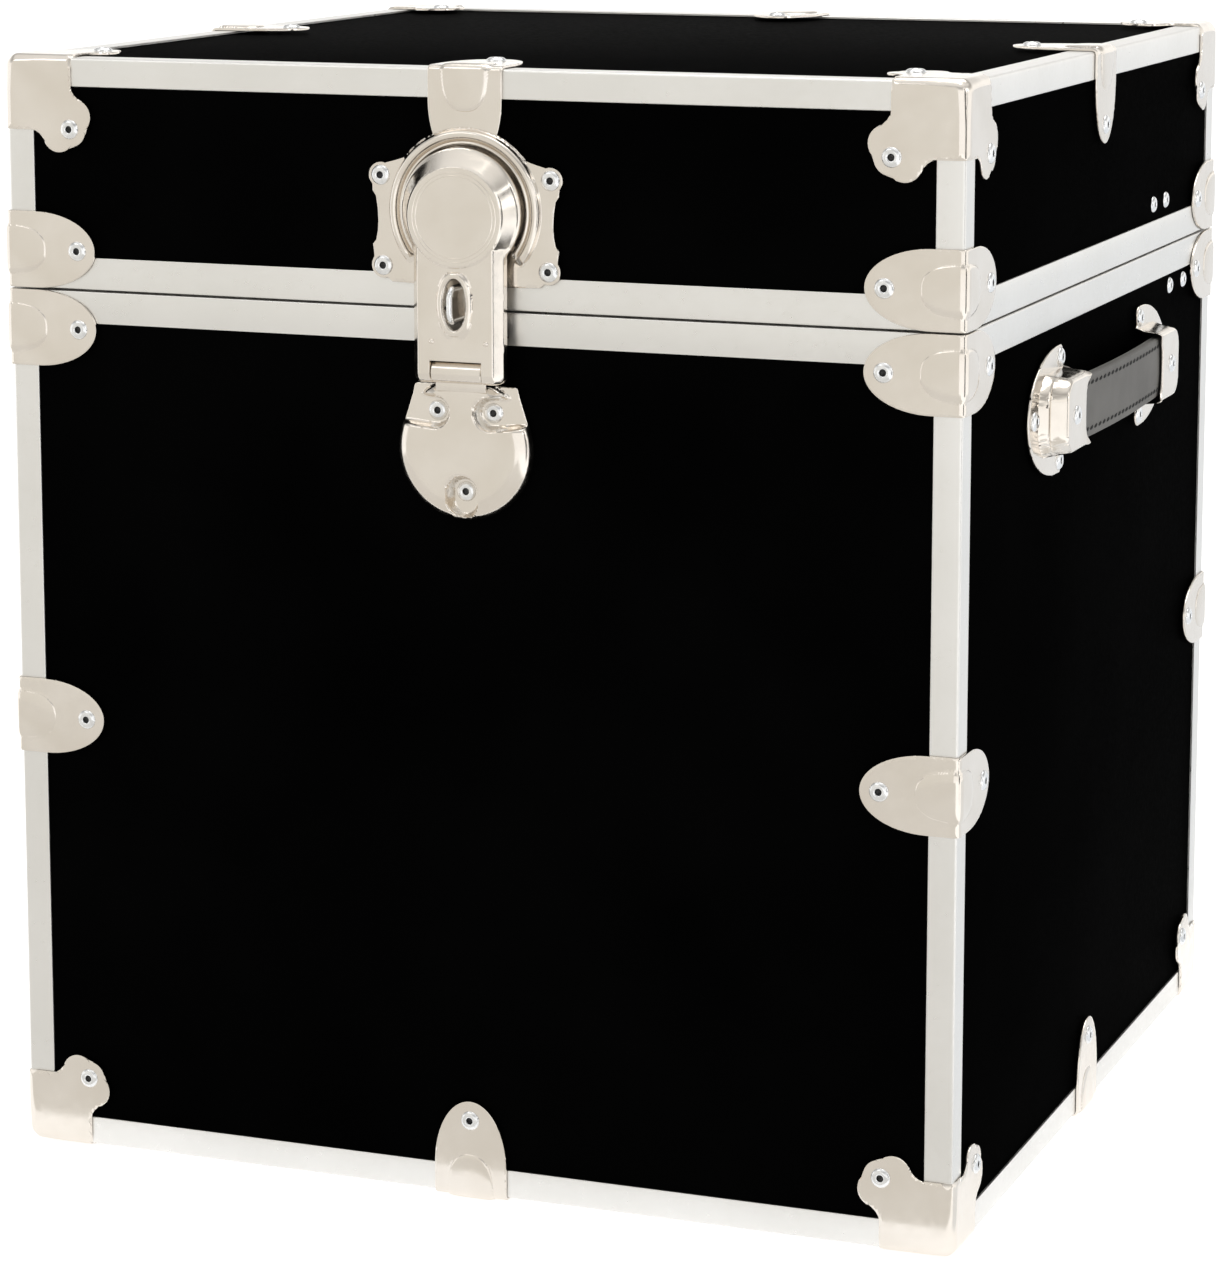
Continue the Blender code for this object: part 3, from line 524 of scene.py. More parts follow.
def stamped(outline, inner, height, place, thickness=SHEET, back=None, hole=None, roll=EDGE_ROLL):
    """Points and faces of pressed sheet metal inside an outline, whose cut edge is a little rounded.

    height(u, v) is how far its back stands out, and back(u, v, gap) replaces that on the far side only.
    place(u, v, out) turns the flat place and the distance out into a point.
    """
    if sum(a[0] * b[1] - b[0] * a[1] for a, b in zip(outline, outline[1:] + outline[:1])) < 0:
        outline = outline[::-1]
    loops = [outline, hole] if hole else [outline]
    rolls = [(inset(outline, distance), distance) for distance in (roll * 0.3, roll)]
    if hole:
        rolls += [(inset(hole[::-1], -distance), distance) for distance in (roll * 0.3, roll)]
    inner = list(dict.fromkeys(inner))
    inside, gap = gap_to(inner, outline)
    wanted = inside & (gap > roll + 0.35)
    if hole:
        in_hole, hole_gap = gap_to(inner, hole)
        wanted &= ~in_hole & (hole_gap > roll + 0.2)
    marks = {(round(u, 4), round(v, 4)): 0.0 for loop in loops for u, v in loop}
    for ring, distance in rolls:
        marks |= {(round(u, 4), round(v, 4)): distance for u, v in ring}
    free = [point for ring, _ in rolls for point in ring]
    free += [point for point, good in zip(inner, wanted) if good]
    verts, faces, where = triangles(loops, free, [hole] if hole else [])
    gaps = gap_to([tuple(v) for v in verts], outline)[1] if back else [0.0] * len(verts)
    front, rear = [], []
    for vert, edge_gap in zip(verts, gaps):
        u, v = vert
        distance = marks.get((round(u, 4), round(v, 4)), roll)
        drop = roll - math.sqrt(max(0.0, roll**2 - (roll - distance) ** 2))
        lift = height(u, v)
        front.append(place(u, v, lift + thickness - drop))
        rear.append(place(u, v, back(u, v, edge_gap) if back else lift))
    count = len(verts)
    made = [tuple(face) for face in faces] + [tuple(i + count for i in reversed(face)) for face in faces]
    start = 0
    for loop in loops:
        ids = [where[start + i] for i in range(len(loop))]
        made += [(a, b, b + count, a + count) for a, b in zip(ids, ids[1:] + ids[:1])]
        start += len(loop)
    return front + rear, made


# A tubular rivet's head as (radius, height): its hollow shank first, then its rolled rim and its back.
RIVET_HOLLOW = [(0.02, 0.12), (1.2, 0.12), (1.45, 0.45), (1.65, 1.1)]
RIVET_RIM = [(2.0, 1.46), (2.6, 1.6), (3.3, 1.5), (4.0, 1.16), (4.6, 0.66), (4.92, 0.2), (5.0, -0.4)]
RIVET = RIVET_HOLLOW + RIVET_RIM + [(0.02, -0.4)]
RIVET_SIDES = 28


def rivets(name, spots, size=1.0):
    """Tubular rivet heads at (point, outward) spots, in one mesh."""
    profile = [(radius * size, height) for radius, height in RIVET]
    points, faces, dark = [], [], []
    for at, outward in spots:
        more_points, more_faces = turned(profile, at, outward, RIVET_SIDES)
        start = len(points)
        points += more_points
        hollow_faces = (len(RIVET_HOLLOW) - 1) * RIVET_SIDES
        floor_face = len(more_faces) - 2
        for number, face in enumerate(more_faces):
            faces.append(tuple(i + start for i in face))
            # The hollow's faces and its floor take the near-black material, which paints the shade inside the
            # rivet.
            dark.append(number < hollow_faces or number == floor_face)
    return mesh_of(name, points, faces, ZINC, HOLLOW_SHADE, second=dark, sharp=50)


def on_front(x, z, out):
    return Vector((x, -HALF - out, z))


# ------------------------------------------------------- boards and edging


def boards():
    """Ten plywood boards, each with its own sheet of black laminate on the outside."""
    outward = {"front": (1, -1), "back": (1, 1), "left": (0, -1), "right": (0, 1)}
    outward |= {"top": (2, 1), "bottom": (2, -1)}
    for node in sorted(NODES):
        if not node.endswith("_panel"):
            continue
        low, high = span(node)
        low.y, high.y = low.y - CENTRE_Y, high.y - CENTRE_Y
        axis, sign = outward[node.split("_")[1]]
        core, sheet = [low.copy(), high.copy()], [low.copy(), high.copy()]
        core[sign > 0][axis] -= sign * LAMINATE
        sheet[sign < 0][axis] = core[sign > 0][axis]
        birch = LEVEL_BIRCH if axis == 2 else UPRIGHT_BIRCH
        mesh = mesh_of(node + "_core", *rounded_box(*core, 0.3), birch)
        piece(node + "_core", mesh, node, stands_for=True)
        mesh = mesh_of(node + "_laminate", *rounded_box(*sheet, 0.15), LAMINATE_SKIN)
        piece(node + "_laminate", mesh, node)


def angle_strip(name, length):
    """Angle edging along X about the origin, with its fold there and legs along +Y and -Z."""
    fold = arc((EDGING_FOLD, -EDGING_FOLD), EDGING_FOLD, 180, 90, 7)
    chamfer = 0.25
    profile = [(chamfer, -FLANGE), (0, -FLANGE + chamfer)] + fold
    profile += [(FLANGE - chamfer, 0), (FLANGE, -chamfer), (FLANGE, -SHEET)]
    profile += [(SHEET + 0.3, -SHEET), (SHEET, -SHEET - 0.3), (SHEET, -FLANGE)]
    rings = [[(x, y, z) for y, z in profile] for x in steps(-length / 2, length / 2, 60)]
    return mesh_of(name, *loft(rings), ALUMINIUM)


def square_ring(name, profile):
    """A profile of (distance from the middle, height) taken round the trunk, mitred at its corners."""
    rings = [[(d * x, d * y, z) for d, z in profile] for x, y in ((1, -1), (1, 1), (-1, 1), (-1, -1))]
    return mesh_of(name, *loft(rings, closed=True), ALUMINIUM)


def edging():
    level = angle_strip("level_edging", 2 * (HALF - STRIP_END))
    lid_foot = LID_BOTTOM + VALANCE + CLEAR
    lid_post = angle_strip("lid_upright_edging", TOP - STRIP_END - lid_foot)
    body_head = BODY_TOP - VALANCE - CLEAR
    body_post = angle_strip("body_upright_edging", body_head - FOOT - STRIP_END)
    legs_up = Matrix.Rotation(math.radians(90), 4, "X")
    stand = Matrix.Rotation(math.radians(90), 4, "Y")
    for step, (side, corner) in enumerate(zip(SIDES, CORNERS)):
        top = quarter(step) @ move(0, -HALF, TOP)
        piece(f"top_edging_{side}", level, "lid_edging", top, True)
        base = quarter(step) @ move(0, -HALF, FOOT) @ legs_up
        piece(f"bottom_edging_{side}", level, "base_edging", base, True)
        upright = quarter(step) @ move(HALF, -HALF, (TOP - STRIP_END + lid_foot) / 2) @ stand
        piece(f"lid_upright_{corner}", lid_post, "lid_edging", upright)
        upright = quarter(step) @ move(HALF, -HALF, (body_head + FOOT + STRIP_END) / 2) @ stand
        piece(f"body_upright_{corner}", body_post, "base_edging", upright)
    fold = 1.0
    lid = [(HALF - 0.2, LID_BOTTOM + VALANCE), (HALF, LID_BOTTOM + VALANCE - 0.3)]
    lid += arc((HALF - fold, LID_BOTTOM + fold), fold, 0, -90, 6)
    lid += [(WALL_INSIDE, LID_BOTTOM), (WALL_INSIDE, LID_BOTTOM + SHEET), (HALF - SHEET, LID_BOTTOM + SHEET)]
    lid += [(HALF - SHEET, LID_BOTTOM + VALANCE)]
    piece("lid_rim", square_ring("lid_rim", lid), "lid_rim_edging", stands_for=True)
    body = [(HALF - 0.2, BODY_TOP - VALANCE), (HALF, BODY_TOP - VALANCE + 0.3)]
    body += arc((HALF - fold, BODY_TOP - fold), fold, 0, 90, 6)
    body += [(TONGUE_OUTER, BODY_TOP), (TONGUE_OUTER, TONGUE_TOP - 0.4), (TONGUE_OUTER - 0.4, TONGUE_TOP)]
    body += [(TONGUE_OUTER - SHEET, TONGUE_TOP), (TONGUE_OUTER - SHEET, BODY_TOP - SHEET)]
    body += [(HALF - SHEET, BODY_TOP - SHEET), (HALF - SHEET, BODY_TOP - VALANCE)]
    piece("body_rim", square_ring("body_rim", body), "body_rim_edging", stands_for=True)


# ---------------------------------------------------------- caps and clamps


def bulge(u, v):
    """The pressed swelling over a clamp's fold."""
    reach = oval_share(u, v)
    return BULGE_HEIGHT * dome(1 - min((1 - reach) * BULGE_HALF / BULGE_WALL, 1.0)) if reach < 1 else 0.0


def oval_share(u, v):
    """0 at the swelling's middle and 1 on its outline."""
    return (abs(u / BULGE_LONG) ** BULGE_POWER + abs(v / BULGE_HALF) ** BULGE_POWER) ** (1 / BULGE_POWER)


def oval(share):
    """Points on the swelling's outline, shrunk to that share."""
    made = []
    for i in range(OVAL_POINTS):
        t = math.tau * i / OVAL_POINTS
        u, v = [math.copysign(abs(c) ** (2 / BULGE_POWER), c) for c in (math.cos(t), math.sin(t))]
        made.append((BULGE_LONG * share * u, BULGE_HALF * share * v))
    return made


def round_fold(u, out, radius):
    """(x, y) of a place along a sheet folded over an upright edge.

    u is below 0 on the front and above it on the side.
    """
    corner = Vector((SKIN, -SKIN))
    flat = Vector((min(u, 0.0), max(u, 0.0)))
    inner = Vector((min(flat.x, -radius), max(flat.y, radius)))
    away = (flat - inner).normalized()
    at = inner + away * (radius + out)
    return corner.x + at.x, corner.y + at.y


def clamp_mesh(name, hole_circle=None):
    """A clamp folded over the upright edge at the origin, with one leg on the front and one on the side."""
    reach = CLAMP_LENGTH + SKIN
    straight = CLAMP_STRAIGHT + SKIN
    round_part = reach - straight
    nose = [(straight + round_part * math.cos(t), CLAMP_HALF * math.sin(t)) for t in turns(-90, 90, 6)]
    outline = finer(nose + [(-u, -v) for u, v in nose], 2.0)
    if hole_circle:
        centre, radius = hole_circle
        outline = [trimmed(point, centre, radius) for point in outline]
    near = [i * 0.6 for i in range(-9, 10)]
    far = [sign * (6.4 + i * 1.35) for i in range(32) for sign in (-1, 1)]
    plain = grid(far, steps(-18, 18, 1.35))
    inner = grid(near, steps(-18, 18, 1.35))
    inner += [point for point in plain if not 0.76 < oval_share(*point) < 1.07]
    for share in (1.03, 1.0, 0.985, 0.96, 0.93, 0.89, 0.84, 0.79):
        inner += oval(share)

    def place(u, v, out):
        x, y = round_fold(u, out - SHEET, CLAMP_FOLD)
        return Vector((x, y, v))

    shape = stamped(outline, inner, bulge, place)
    return mesh_of(name, *shape, NICKEL)


def trimmed(point, centre, radius):
    """Pushes an outline point out of a circle, along the clamp."""
    if math.dist(point, centre) >= radius:
        return point
    v = point[1]
    return centre[0] + math.sqrt(radius**2 - (v - centre[1]) ** 2), v


def clamps():
    mesh = clamp_mesh("clamp_shell")
    spots = [((-CLAMP_RIVET, -SKIN, 0), (0, -1, 0)), ((SKIN, CLAMP_RIVET, 0), (1, 0, 0))]
    pair = rivets("clamp_rivet_pair", spots)
    tip_down = Matrix.Rotation(math.radians(90), 4, "Y")
    tip_up = Matrix.Rotation(math.radians(-90), 4, "Y")
    places = {}
    for step, (side, corner) in enumerate(zip(SIDES, CORNERS)):
        edge = quarter(step) @ move(HALF, -HALF, 0)
        places["lid_rim_clamp_" + corner] = edge @ move(0, 0, LID_BOTTOM + CLAMP_HALF)
        places["body_rim_clamp_" + corner] = edge @ move(0, 0, BODY_TOP - CLAMP_HALF)
        places["mid_clamp_" + corner] = edge @ move(0, 0, FOOT + MID_CLAMP_HEIGHT)
        places["top_clamp_" + side] = quarter(step) @ move(0, -HALF, TOP) @ tip_up
        places["base_clamp_" + side] = quarter(step) @ move(0, -HALF, FOOT) @ tip_down
    for node, place in places.items():
        if node == "top_clamp_front":
            continue
        piece(node + "_shell", mesh, node, place, True)
        piece(node + "_rivets", pair, node, place)
    # The lock's plate covers the end of the clamp above it.
    place = places["top_clamp_front"]
    cut = clamp_mesh("lock_clamp_shell", ((FOOT + LOCK_Z - TOP - SKIN, 0.0), LOCK_CLAMP_CUT))
    piece("top_clamp_front_shell", cut, "top_clamp_front", place, True)
    one = rivets("clamp_rivet_single", spots[1:])
    piece("top_clamp_front_rivets", one, "top_clamp_front", place)


def petal():
    """A corner cap's free edge on one face, from one fold to the other, measured from its own corner."""
    lobe = arc((38.3, 29.0), 8.7, -62, 40, 9)
    tip = arc((35.6, 35.6), 8.6, 14, 45, 4)
    neck = [(CAP_ARM, v) for v in (-SKIN, 5.0, 10.0, 14.0)] + [(36.5, 16.2), (37.8, 18.3), (39.8, 20.1)]
    half = neck + lobe + tip
    whole = half + [(v, u) for u, v in reversed(half[:-1])]
    return [(u + SKIN, v + SKIN) for u, v in whole]


def cap_point(place, out):
    """The point that is place in from the cap's three faces, on its rounded surface or out from it."""
    radius = CAP_FOLD + CAP_NOSE * (1 - smooth(sum(place) / CAP_NOSE_REACH))
    inner = Vector([max(c, radius) for c in place])
    away = (Vector(place) - inner).normalized()
    at = inner + away * (radius + out)
    return Vector((SKIN - at.x, at.y - SKIN, SKIN - at.z))


def cap_mesh():
    """A cap for the top, front, right corner, with the edging's corner at the origin."""
    free = petal()
    shares = (EDGE_ROLL * 0.3, EDGE_ROLL)
    arm = free[0][0]
    along = [arm - share for share in shares] + [c for c in reversed(steps(0, arm - 1.2, 1.1))]
    loop = free + [(0.0, c) for c in along] + [(c, 0.0) for c in reversed(along[:-1])]
    marks = {}
    rings = []
    for share in shares:
        ring = []
        for i, (u, v) in enumerate(free):
            before, after = Vector(free[max(i - 1, 0)]), Vector(free[min(i + 1, len(free) - 1)])
            run = (after - before).normalized()
            ring.append((u - run.y * share, v + run.x * share))
        rings += ring[1:-1]
        marks |= {(round(u, 4), round(v, 4)): share for u, v in ring}
        marks |= {(round(arm - share, 4), 0.0): share, (0.0, round(arm - share, 4)): share}
    marks |= {(round(u, 4), round(v, 4)): 0.0 for u, v in free}
    ticks = [i * 0.62 for i in range(1, 10)] + steps(7.0, 50.0, 1.8)
    inner = grid(ticks, ticks)
    inside, gap = gap_to(inner, loop)
    inner = [point for point, good in zip(inner, inside & (gap > 0.4)) if good]
    verts, faces, where = triangles([loop], rings + inner)
    frames = (lambda a, b: (a, 0.0, b), lambda a, b: (0.0, a, b), lambda a, b: (a, b, 0.0))
    points, made = [], []
    for to_place in frames:
        start = len(points)
        count = len(verts)
        for side in (0, 1):
            for u, v in verts:
                distance = marks.get((round(u, 4), round(v, 4)), EDGE_ROLL)
                drop = EDGE_ROLL - math.sqrt(max(0.0, EDGE_ROLL**2 - (EDGE_ROLL - distance) ** 2))
                points.append(cap_point(to_place(u, v), -SHEET if side else -drop))
        made += [tuple(start + i for i in face) for face in faces]
        made += [tuple(start + count + i for i in reversed(face)) for face in faces]
        ids = [start + where[i] for i in range(len(free))]
        made += [(a, b, b + count, a + count) for a, b in zip(ids, ids[1:])]
    mesh = bpy.data.meshes.new("cap_weld")
    mesh.from_pydata(points, [], made)
    bm = bmesh.new()
    bm.from_mesh(mesh)
    bmesh.ops.remove_doubles(bm, verts=bm.verts, dist=0.01)
    bm.verts.index_update()
    shape = [vert.co.copy() for vert in bm.verts], [tuple(v.index for v in face.verts) for face in bm.faces]
    bm.free()
    return mesh_of("cap_shell", *shape, NICKEL)


def caps():
    mesh = cap_mesh()
    spots = [
        ((-CAP_RIVET, -SKIN, -CAP_RIVET), (0, -1, 0)),
        ((SKIN, CAP_RIVET, -CAP_RIVET), (1, 0, 0)),
        ((-CAP_RIVET, CAP_RIVET, SKIN), (0, 0, 1)),
    ]
    three = rivets("cap_rivet_trio", spots)
    tip_down = Matrix.Rotation(math.radians(90), 4, "Y")
    for step, corner in enumerate(CORNERS):
        edge = quarter(step) @ move(HALF, -HALF, 0)
        for node, place in (
            ("lid_cap_" + corner, edge @ move(0, 0, TOP)),
            ("base_cap_" + corner, edge @ move(0, 0, FOOT) @ tip_down),
        ):
            piece(node + "_shell", mesh, node, place, True)
            piece(node + "_rivets", three, node, place)


# --------------------------------------------------------------------- lock



def lock_place(x, z, out):
    return on_front(x, FOOT + z, out)


def ring_beads(x, z):
    """Two half-round beads pressed in the lid's lock plate, round the hasp's disc."""
    radius = math.hypot(x, z - LOCK_Z)
    from_top = abs(math.degrees(math.atan2(x, z - LOCK_Z)))
    beads = [height * dome((radius - centre) / half) for centre, half, height in (OUTER_BEAD, INNER_BEAD)]
    return max(beads) * smooth((BEAD_REACH - from_top) / BEAD_FADE)


def lid_lock_plate():
    low_ear, high_ear = LOCK_EARS
    foot = [(10.0, 436.5), (10.0, 454.5), (38.5, 455.5)]
    waist = [(48.5, 473.4), (46.8, 475.6), (45.9, 480.0), (45.6, 485.0)]
    waist += [(45.9, 491.0), (46.8, 496.8), (48.5, 499.3)]
    ears = arc(low_ear, LOCK_EAR, -110, 40, 12) + waist + arc(high_ear, LOCK_EAR, -44, 112, 12)
    half = foot + ears + arc((0.0, LOCK_Z), LOCK_CROWN, 38, 90, 16)
    inner = []
    for radius in steps(31.1, 34.7, 0.36) + steps(34.9, 39.7, 0.44) + [39.85, 40.6]:
        inner += arc((0.0, LOCK_Z), radius, -52, 232, 130)
    coarse = grid(steps(-50, 50, 2.4), steps(437, 537, 2.4))
    inner += [(x, z) for x, z in coarse if not 30.6 < math.hypot(x, z - LOCK_Z) < 41.2]
    outline = finer(mirrored(half), 2.5)
    shape = stamped(outline, inner, lambda x, z: CLEAR + ring_beads(x, z), lock_place)
    solid("lock_plate_upper", shape, NICKEL, "lid_lock_plate")
    spots = [(lock_place(side * x, z, SKIN), (0, -1, 0)) for x, z in LOCK_EARS for side in (-1, 1)]
    piece("lock_plate_upper_rivets", rivets("lock_upper_rivets", spots), "lid_lock_plate")


def slot_gap(x, z):
    """About how far a place is outside the hasp's oval slot."""
    half_x, half_z = SLOT
    z -= SLOT_Z
    share = math.hypot(x / half_x, z / half_z)
    return (share - 1) * share / max(math.hypot(x / half_x**2, z / half_z**2), 1e-6)


def slot_ring(offset):
    """Points round the slot, that far outside it."""
    half_x, half_z = SLOT
    made = []
    for i in range(SLOT_POINTS):
        t = math.tau * i / SLOT_POINTS
        outward = Vector((half_z * math.cos(t), half_x * math.sin(t))).normalized() * offset
        made.append((half_x * math.cos(t) + outward.x, SLOT_Z + half_z * math.sin(t) + outward.y))
    return made


def dish_share(x, z):
    """How far down the dish's slope a place is: 0 on the disc's edge and 1 on the flange."""
    shift, grow = LOCK_Z - DISC_Z, DISH_FOOT - DISC_RADIUS
    rise = z - DISC_Z
    a = grow**2 - shift**2
    b = shift * rise + DISC_RADIUS * grow
    c = x * x + rise * rise - DISC_RADIUS**2
    return (math.sqrt(max(b * b + a * c, 0.0)) - b) / a


def strap_front(x, z):
    """How far the hasp's strap stands out: flat, flared at its sides and rolled under at its foot."""
    over = max(abs(x) - STRAP_FLAT, 0.0)
    fall = over**2 / (2 * STRAP_ROUND) if over < STRAP_ROUND else over - STRAP_ROUND / 2
    under = KNUCKLE * (1 - dome((HASP_PIN_Z - z) / (KNUCKLE + 0.3))) if z < HASP_PIN_Z else 0.0
    return HASP_FACE - STRAP_FLARE * fall - under


def hasp_front(x, z):
    """How far the hasp's front stands out."""
    share = min(dish_share(x, z), 1.0)
    dish = HASP_FACE + share * (DISH_BACK - HASP_FACE)
    disc_edge = DISC_RADIUS - math.hypot(x, z - DISC_Z)
    if disc_edge > 0:
        dish = HASP_FACE + DISC_PROUD * smooth(disc_edge / 0.7)
    front = max(dish, strap_front(x, z)) if z < DISC_Z else dish
    gap = slot_gap(x, z)
    return front + SLOT_LIP_HEIGHT * dome((gap - SLOT_LIP / 2) / (SLOT_LIP / 2 + 0.2))


def hasp_outline():
    side_top = LOCK_Z - math.sqrt(DISH_RADIUS**2 - HASP_HALF**2)
    start = -math.degrees(math.acos(HASP_HALF / DISH_RADIUS))
    foot = HASP_PIN_Z - KNUCKLE + 0.2
    notch = HASP_PIN_Z + KNUCKLE + 0.5
    ear = KNUCKLE_REACH + 0.3
    half = [(0.0, notch), (ear, notch), (ear, foot)]
    half += arc((HASP_HALF - HASP_CORNER, foot + HASP_CORNER), HASP_CORNER, -90, 0, 6)
    half.append((HASP_HALF, side_top))
    half += arc((0.0, LOCK_Z), DISH_RADIUS, start, 90, 34)[1:]
    return finer(mirrored(half), 1.6)


def hasp_inner():
    """Places where the hasp's mesh follows its disc, dish, strap sides, foot and the slot's lip."""
    inner = []
    for inset_by in (0.0, 0.25, 0.5, 0.8):
        inner += arc((0.0, DISC_Z), DISC_RADIUS - inset_by, 0, 357.6, 150)
    for share in steps(0.1, 1.0, 0.1):
        centre = (0.0, DISC_Z + (LOCK_Z - DISC_Z) * share)
        inner += arc(centre, DISC_RADIUS + (DISH_FOOT - DISC_RADIUS) * share, 0, 357.6, 150)
    for offset in (0.35, 0.7, 1.1, 1.5, 1.9, 2.3, 2.7, 3.1, 3.5):
        inner += slot_ring(offset)
    sides = [sign * (STRAP_FLAT + d) for d in (0.0, 0.3, 0.6, 0.9, 1.6, 2.4) for sign in (-1, 1)]
    inner += grid(sides, steps(415, DISC_Z - 12, 1.6))
    foot_columns = [sign * (STRAP_FLAT + d) for d in (-4.4, -3.0, -1.5) for sign in (-1, 1)]
    inner += grid(sides + foot_columns, steps(409.4, 414.6, 0.52))
    plain = grid(steps(-17.6, 17.6, 1.6), steps(416, 521, 1.6))
    return inner + [point for point in plain if slot_gap(*point) > SLOT_LIP + 0.7]


def disc_rings():
    """Plain turned rings, in place of an engraved mark."""
    wire = 0.28
    shapes = []
    middle = lock_place(0, DISC_Z, HASP_FACE + DISC_PROUD - 0.08)
    for radius in DISC_RINGS:
        sections = []
        for x, z in arc((0, 0), radius, 0, 354, 60):
            away = Vector((x, 0, z)).normalized()
            centre = middle + away * radius
            round_it = [away * math.cos(t) - Vector((0, math.sin(t), 0)) for t in turns(0, 315, 45)]
            sections.append([centre + wire * offset for offset in round_it])
        shapes.append(loft(sections, closed=True))
    return merged(shapes)


def hasp():
    def back(x, z, gap):
        return HASP_BACK if gap < 1.25 else max(HASP_BACK, hasp_front(x, z) - HASP_WALL)

    shape = stamped(
        hasp_outline(),
        hasp_inner(),
        lambda x, z: hasp_front(x, z) - HASP_WALL,
        lock_place,
        HASP_WALL,
        back,
        slot_ring(0.0),
        0.3,
    )
    solid("hasp_plate", shape, NICKEL, "hasp", sharp=42)
    solid("hasp_disc_rings", disc_rings(), NICKEL, "hasp", stands_for=False)
    pip = [(0.05, 0.95), (0.7, 0.82), (1.2, 0.4), (1.4, -0.2), (0.05, -0.2)]
    shapes = [turned(pip, lock_place(x, z, HASP_FACE), (0, -1, 0), 14) for x, z in PIPS]
    solid("hasp_pips", merged(shapes), NICKEL, "hasp", stands_for=False)


def hasp_pin():
    """The pin, with slightly domed ends."""
    end = HASP_HALF - 0.6
    profile = double_ended([(1.9, end - 0.7), (1.5, end - 0.2), (0.05, end)])
    at = lock_place(0, HASP_PIN_Z, HASP_PIN_OUT)
    solid("hasp_pin_rod", turned(profile, at, (1, 0, 0), 20), ZINC, "hasp_pin")


def staple():
    """A wire loop through the hasp's slot."""
    rise = STAPLE_RISE - STAPLE_WIRE
    bend = 5.2
    top = STAPLE_OUT - STAPLE_WIRE
    path = [(rise, 1.0), (rise, 6.0), (rise, top - bend)]
    path += arc((rise - bend, top - bend), bend, 10, 90, 9)
    path += [(-z, out) for z, out in reversed(path)]
    points = [lock_place(0, SLOT_Z + z, out) for z, out in path]
    solid("staple_wire", swept(points, STAPLE_WIRE, 18), ZINC, "staple")


def pocket(x, z):
    """0 on the floor of a rivet's pocket in the lower plate, and 1 clear of all three.

    The upper two run out through the plate's sides, and the lowest ends in the rim.
    """
    clear = 1.0
    for cx, cz in LOW_RIVETS:
        run = Vector((math.copysign(1.0, cx), 0.10)).normalized() if cx else Vector((0.0, -1.0))
        reach = LOW_RADIUS if cx else POCKET_RUN
        away = Vector((x - cx, z - cz))
        distance = (away - run * min(max(away.dot(run), 0.0), reach)).length
        clear = min(clear, smooth((distance - POCKET_FLOOR) / POCKET_WALL))
    return clear


def low_height(x, z):
    """How far the lower plate's back stands out."""
    edge = LOW_RADIUS - math.hypot(x, z - LOW_PLATE_Z)
    start, foot, half, closing = LOW_NECK
    if z > start:
        edge = min(edge, 0.97 * (half - abs(x)) - (z - foot) * closing)
    edge = max(edge, 0.0)
    hump = LOW_DEPTH * dome(1 - min(edge / LOW_SHOULDER, 1.0))
    return CLEAR + hump * pocket(x, z)


def body_lock_plate():
    low = arc((0.0, LOW_PLATE_Z), LOW_RADIUS, -90, 22, 40)
    neck = [(31.2, 392.0), (29.6, 397.0), (28.0, 402.0), (26.9, 406.4), (25.6, 407.0)]
    neck += [(14.0, 407.2), (0.0, 407.2)]
    outline = finer(mirrored(low + neck), 1.4)
    inner = grid(steps(-35, 35, 0.85), steps(341, 407, 0.85))
    shape = stamped(outline, inner, low_height, lock_place)
    solid("lock_plate_lower", shape, NICKEL, "body_lock_plate", sharp=55)
    spots = [(lock_place(x, z, SKIN), (0, -1, 0)) for x, z in LOW_RIVETS]
    piece("lock_plate_lower_rivets", rivets("lock_lower_rivets", spots), "body_lock_plate")
    # The plate's upper edge is rolled round the pin between the hasp's ears.
    end = KNUCKLE_REACH
    profile = double_ended([(KNUCKLE, end - 0.4), (KNUCKLE - 0.4, end), (0.05, end)])
    barrel = turned(profile, lock_place(0, HASP_PIN_Z, HASP_PIN_OUT), (1, 0, 0), 40)
    low_corner = lock_place(-end, 404.5, LOW_DEPTH + SKIN + 0.05)
    high_corner = lock_place(end, HASP_PIN_Z - 2.0, LOW_DEPTH)
    shape = merged([barrel, rounded_box(low_corner, high_corner, 0.4)])
    solid("lock_barrel", shape, NICKEL, "body_lock_plate", stands_for=False)


# ------------------------------------------------------------------ handles

HANDLE_Z = 385.3
LOOP_NOSE = (139.0, 55.0, 32.4)      # where it ends, its length and half its height
LOOP_STEP = (121.5, 20.6, 15.5, 1.6)      # end, half its height, corner and wall
LOOP_BRIDGE = (116.5, 19.6, 11.5, 2.4)
LOOP_FLARE = 1.3
STEP_OUT = 6.5
BRIDGE_OUT = 15.0
LOOP_RIVETS = ((81.5, 26.0), (128.0, 0.0), (81.5, -26.0))
BRIDGE_RIVET = 98.5
GRIP_HALF = 16.0
GRIP_END = 99.0
GRIP_OUT = 9.4
GRIP_BOW = 3.0
PLIES = {"face": (1.8, 0.2), "core": (0.1, -1.2), "lining": (-1.3, -2.6)}
STITCH_ROW = 11.6
STITCH_PITCH = 7.4
STITCH_REACH = 77.0
STITCH_WIRE = 0.75


def grip_out(y):
    """How far the strap's middle line stands out, at a distance from the handle's middle."""
    return GRIP_OUT + GRIP_BOW * math.cos(math.radians(y * 0.9))


def plateau(u, v, end, half, corner, wall):
    """1 on a raised flat with rounded corners that runs from the loop's open side to end, and 0 off it."""
    inset_u, inset_v = end - u, half - abs(v)
    inside = min(inset_u, inset_v)
    if inset_u < corner and inset_v < corner:
        inside = corner - math.hypot(corner - inset_u, corner - inset_v)
    return dome(1 - min(max(inside, 0.0) / wall, 1.0))


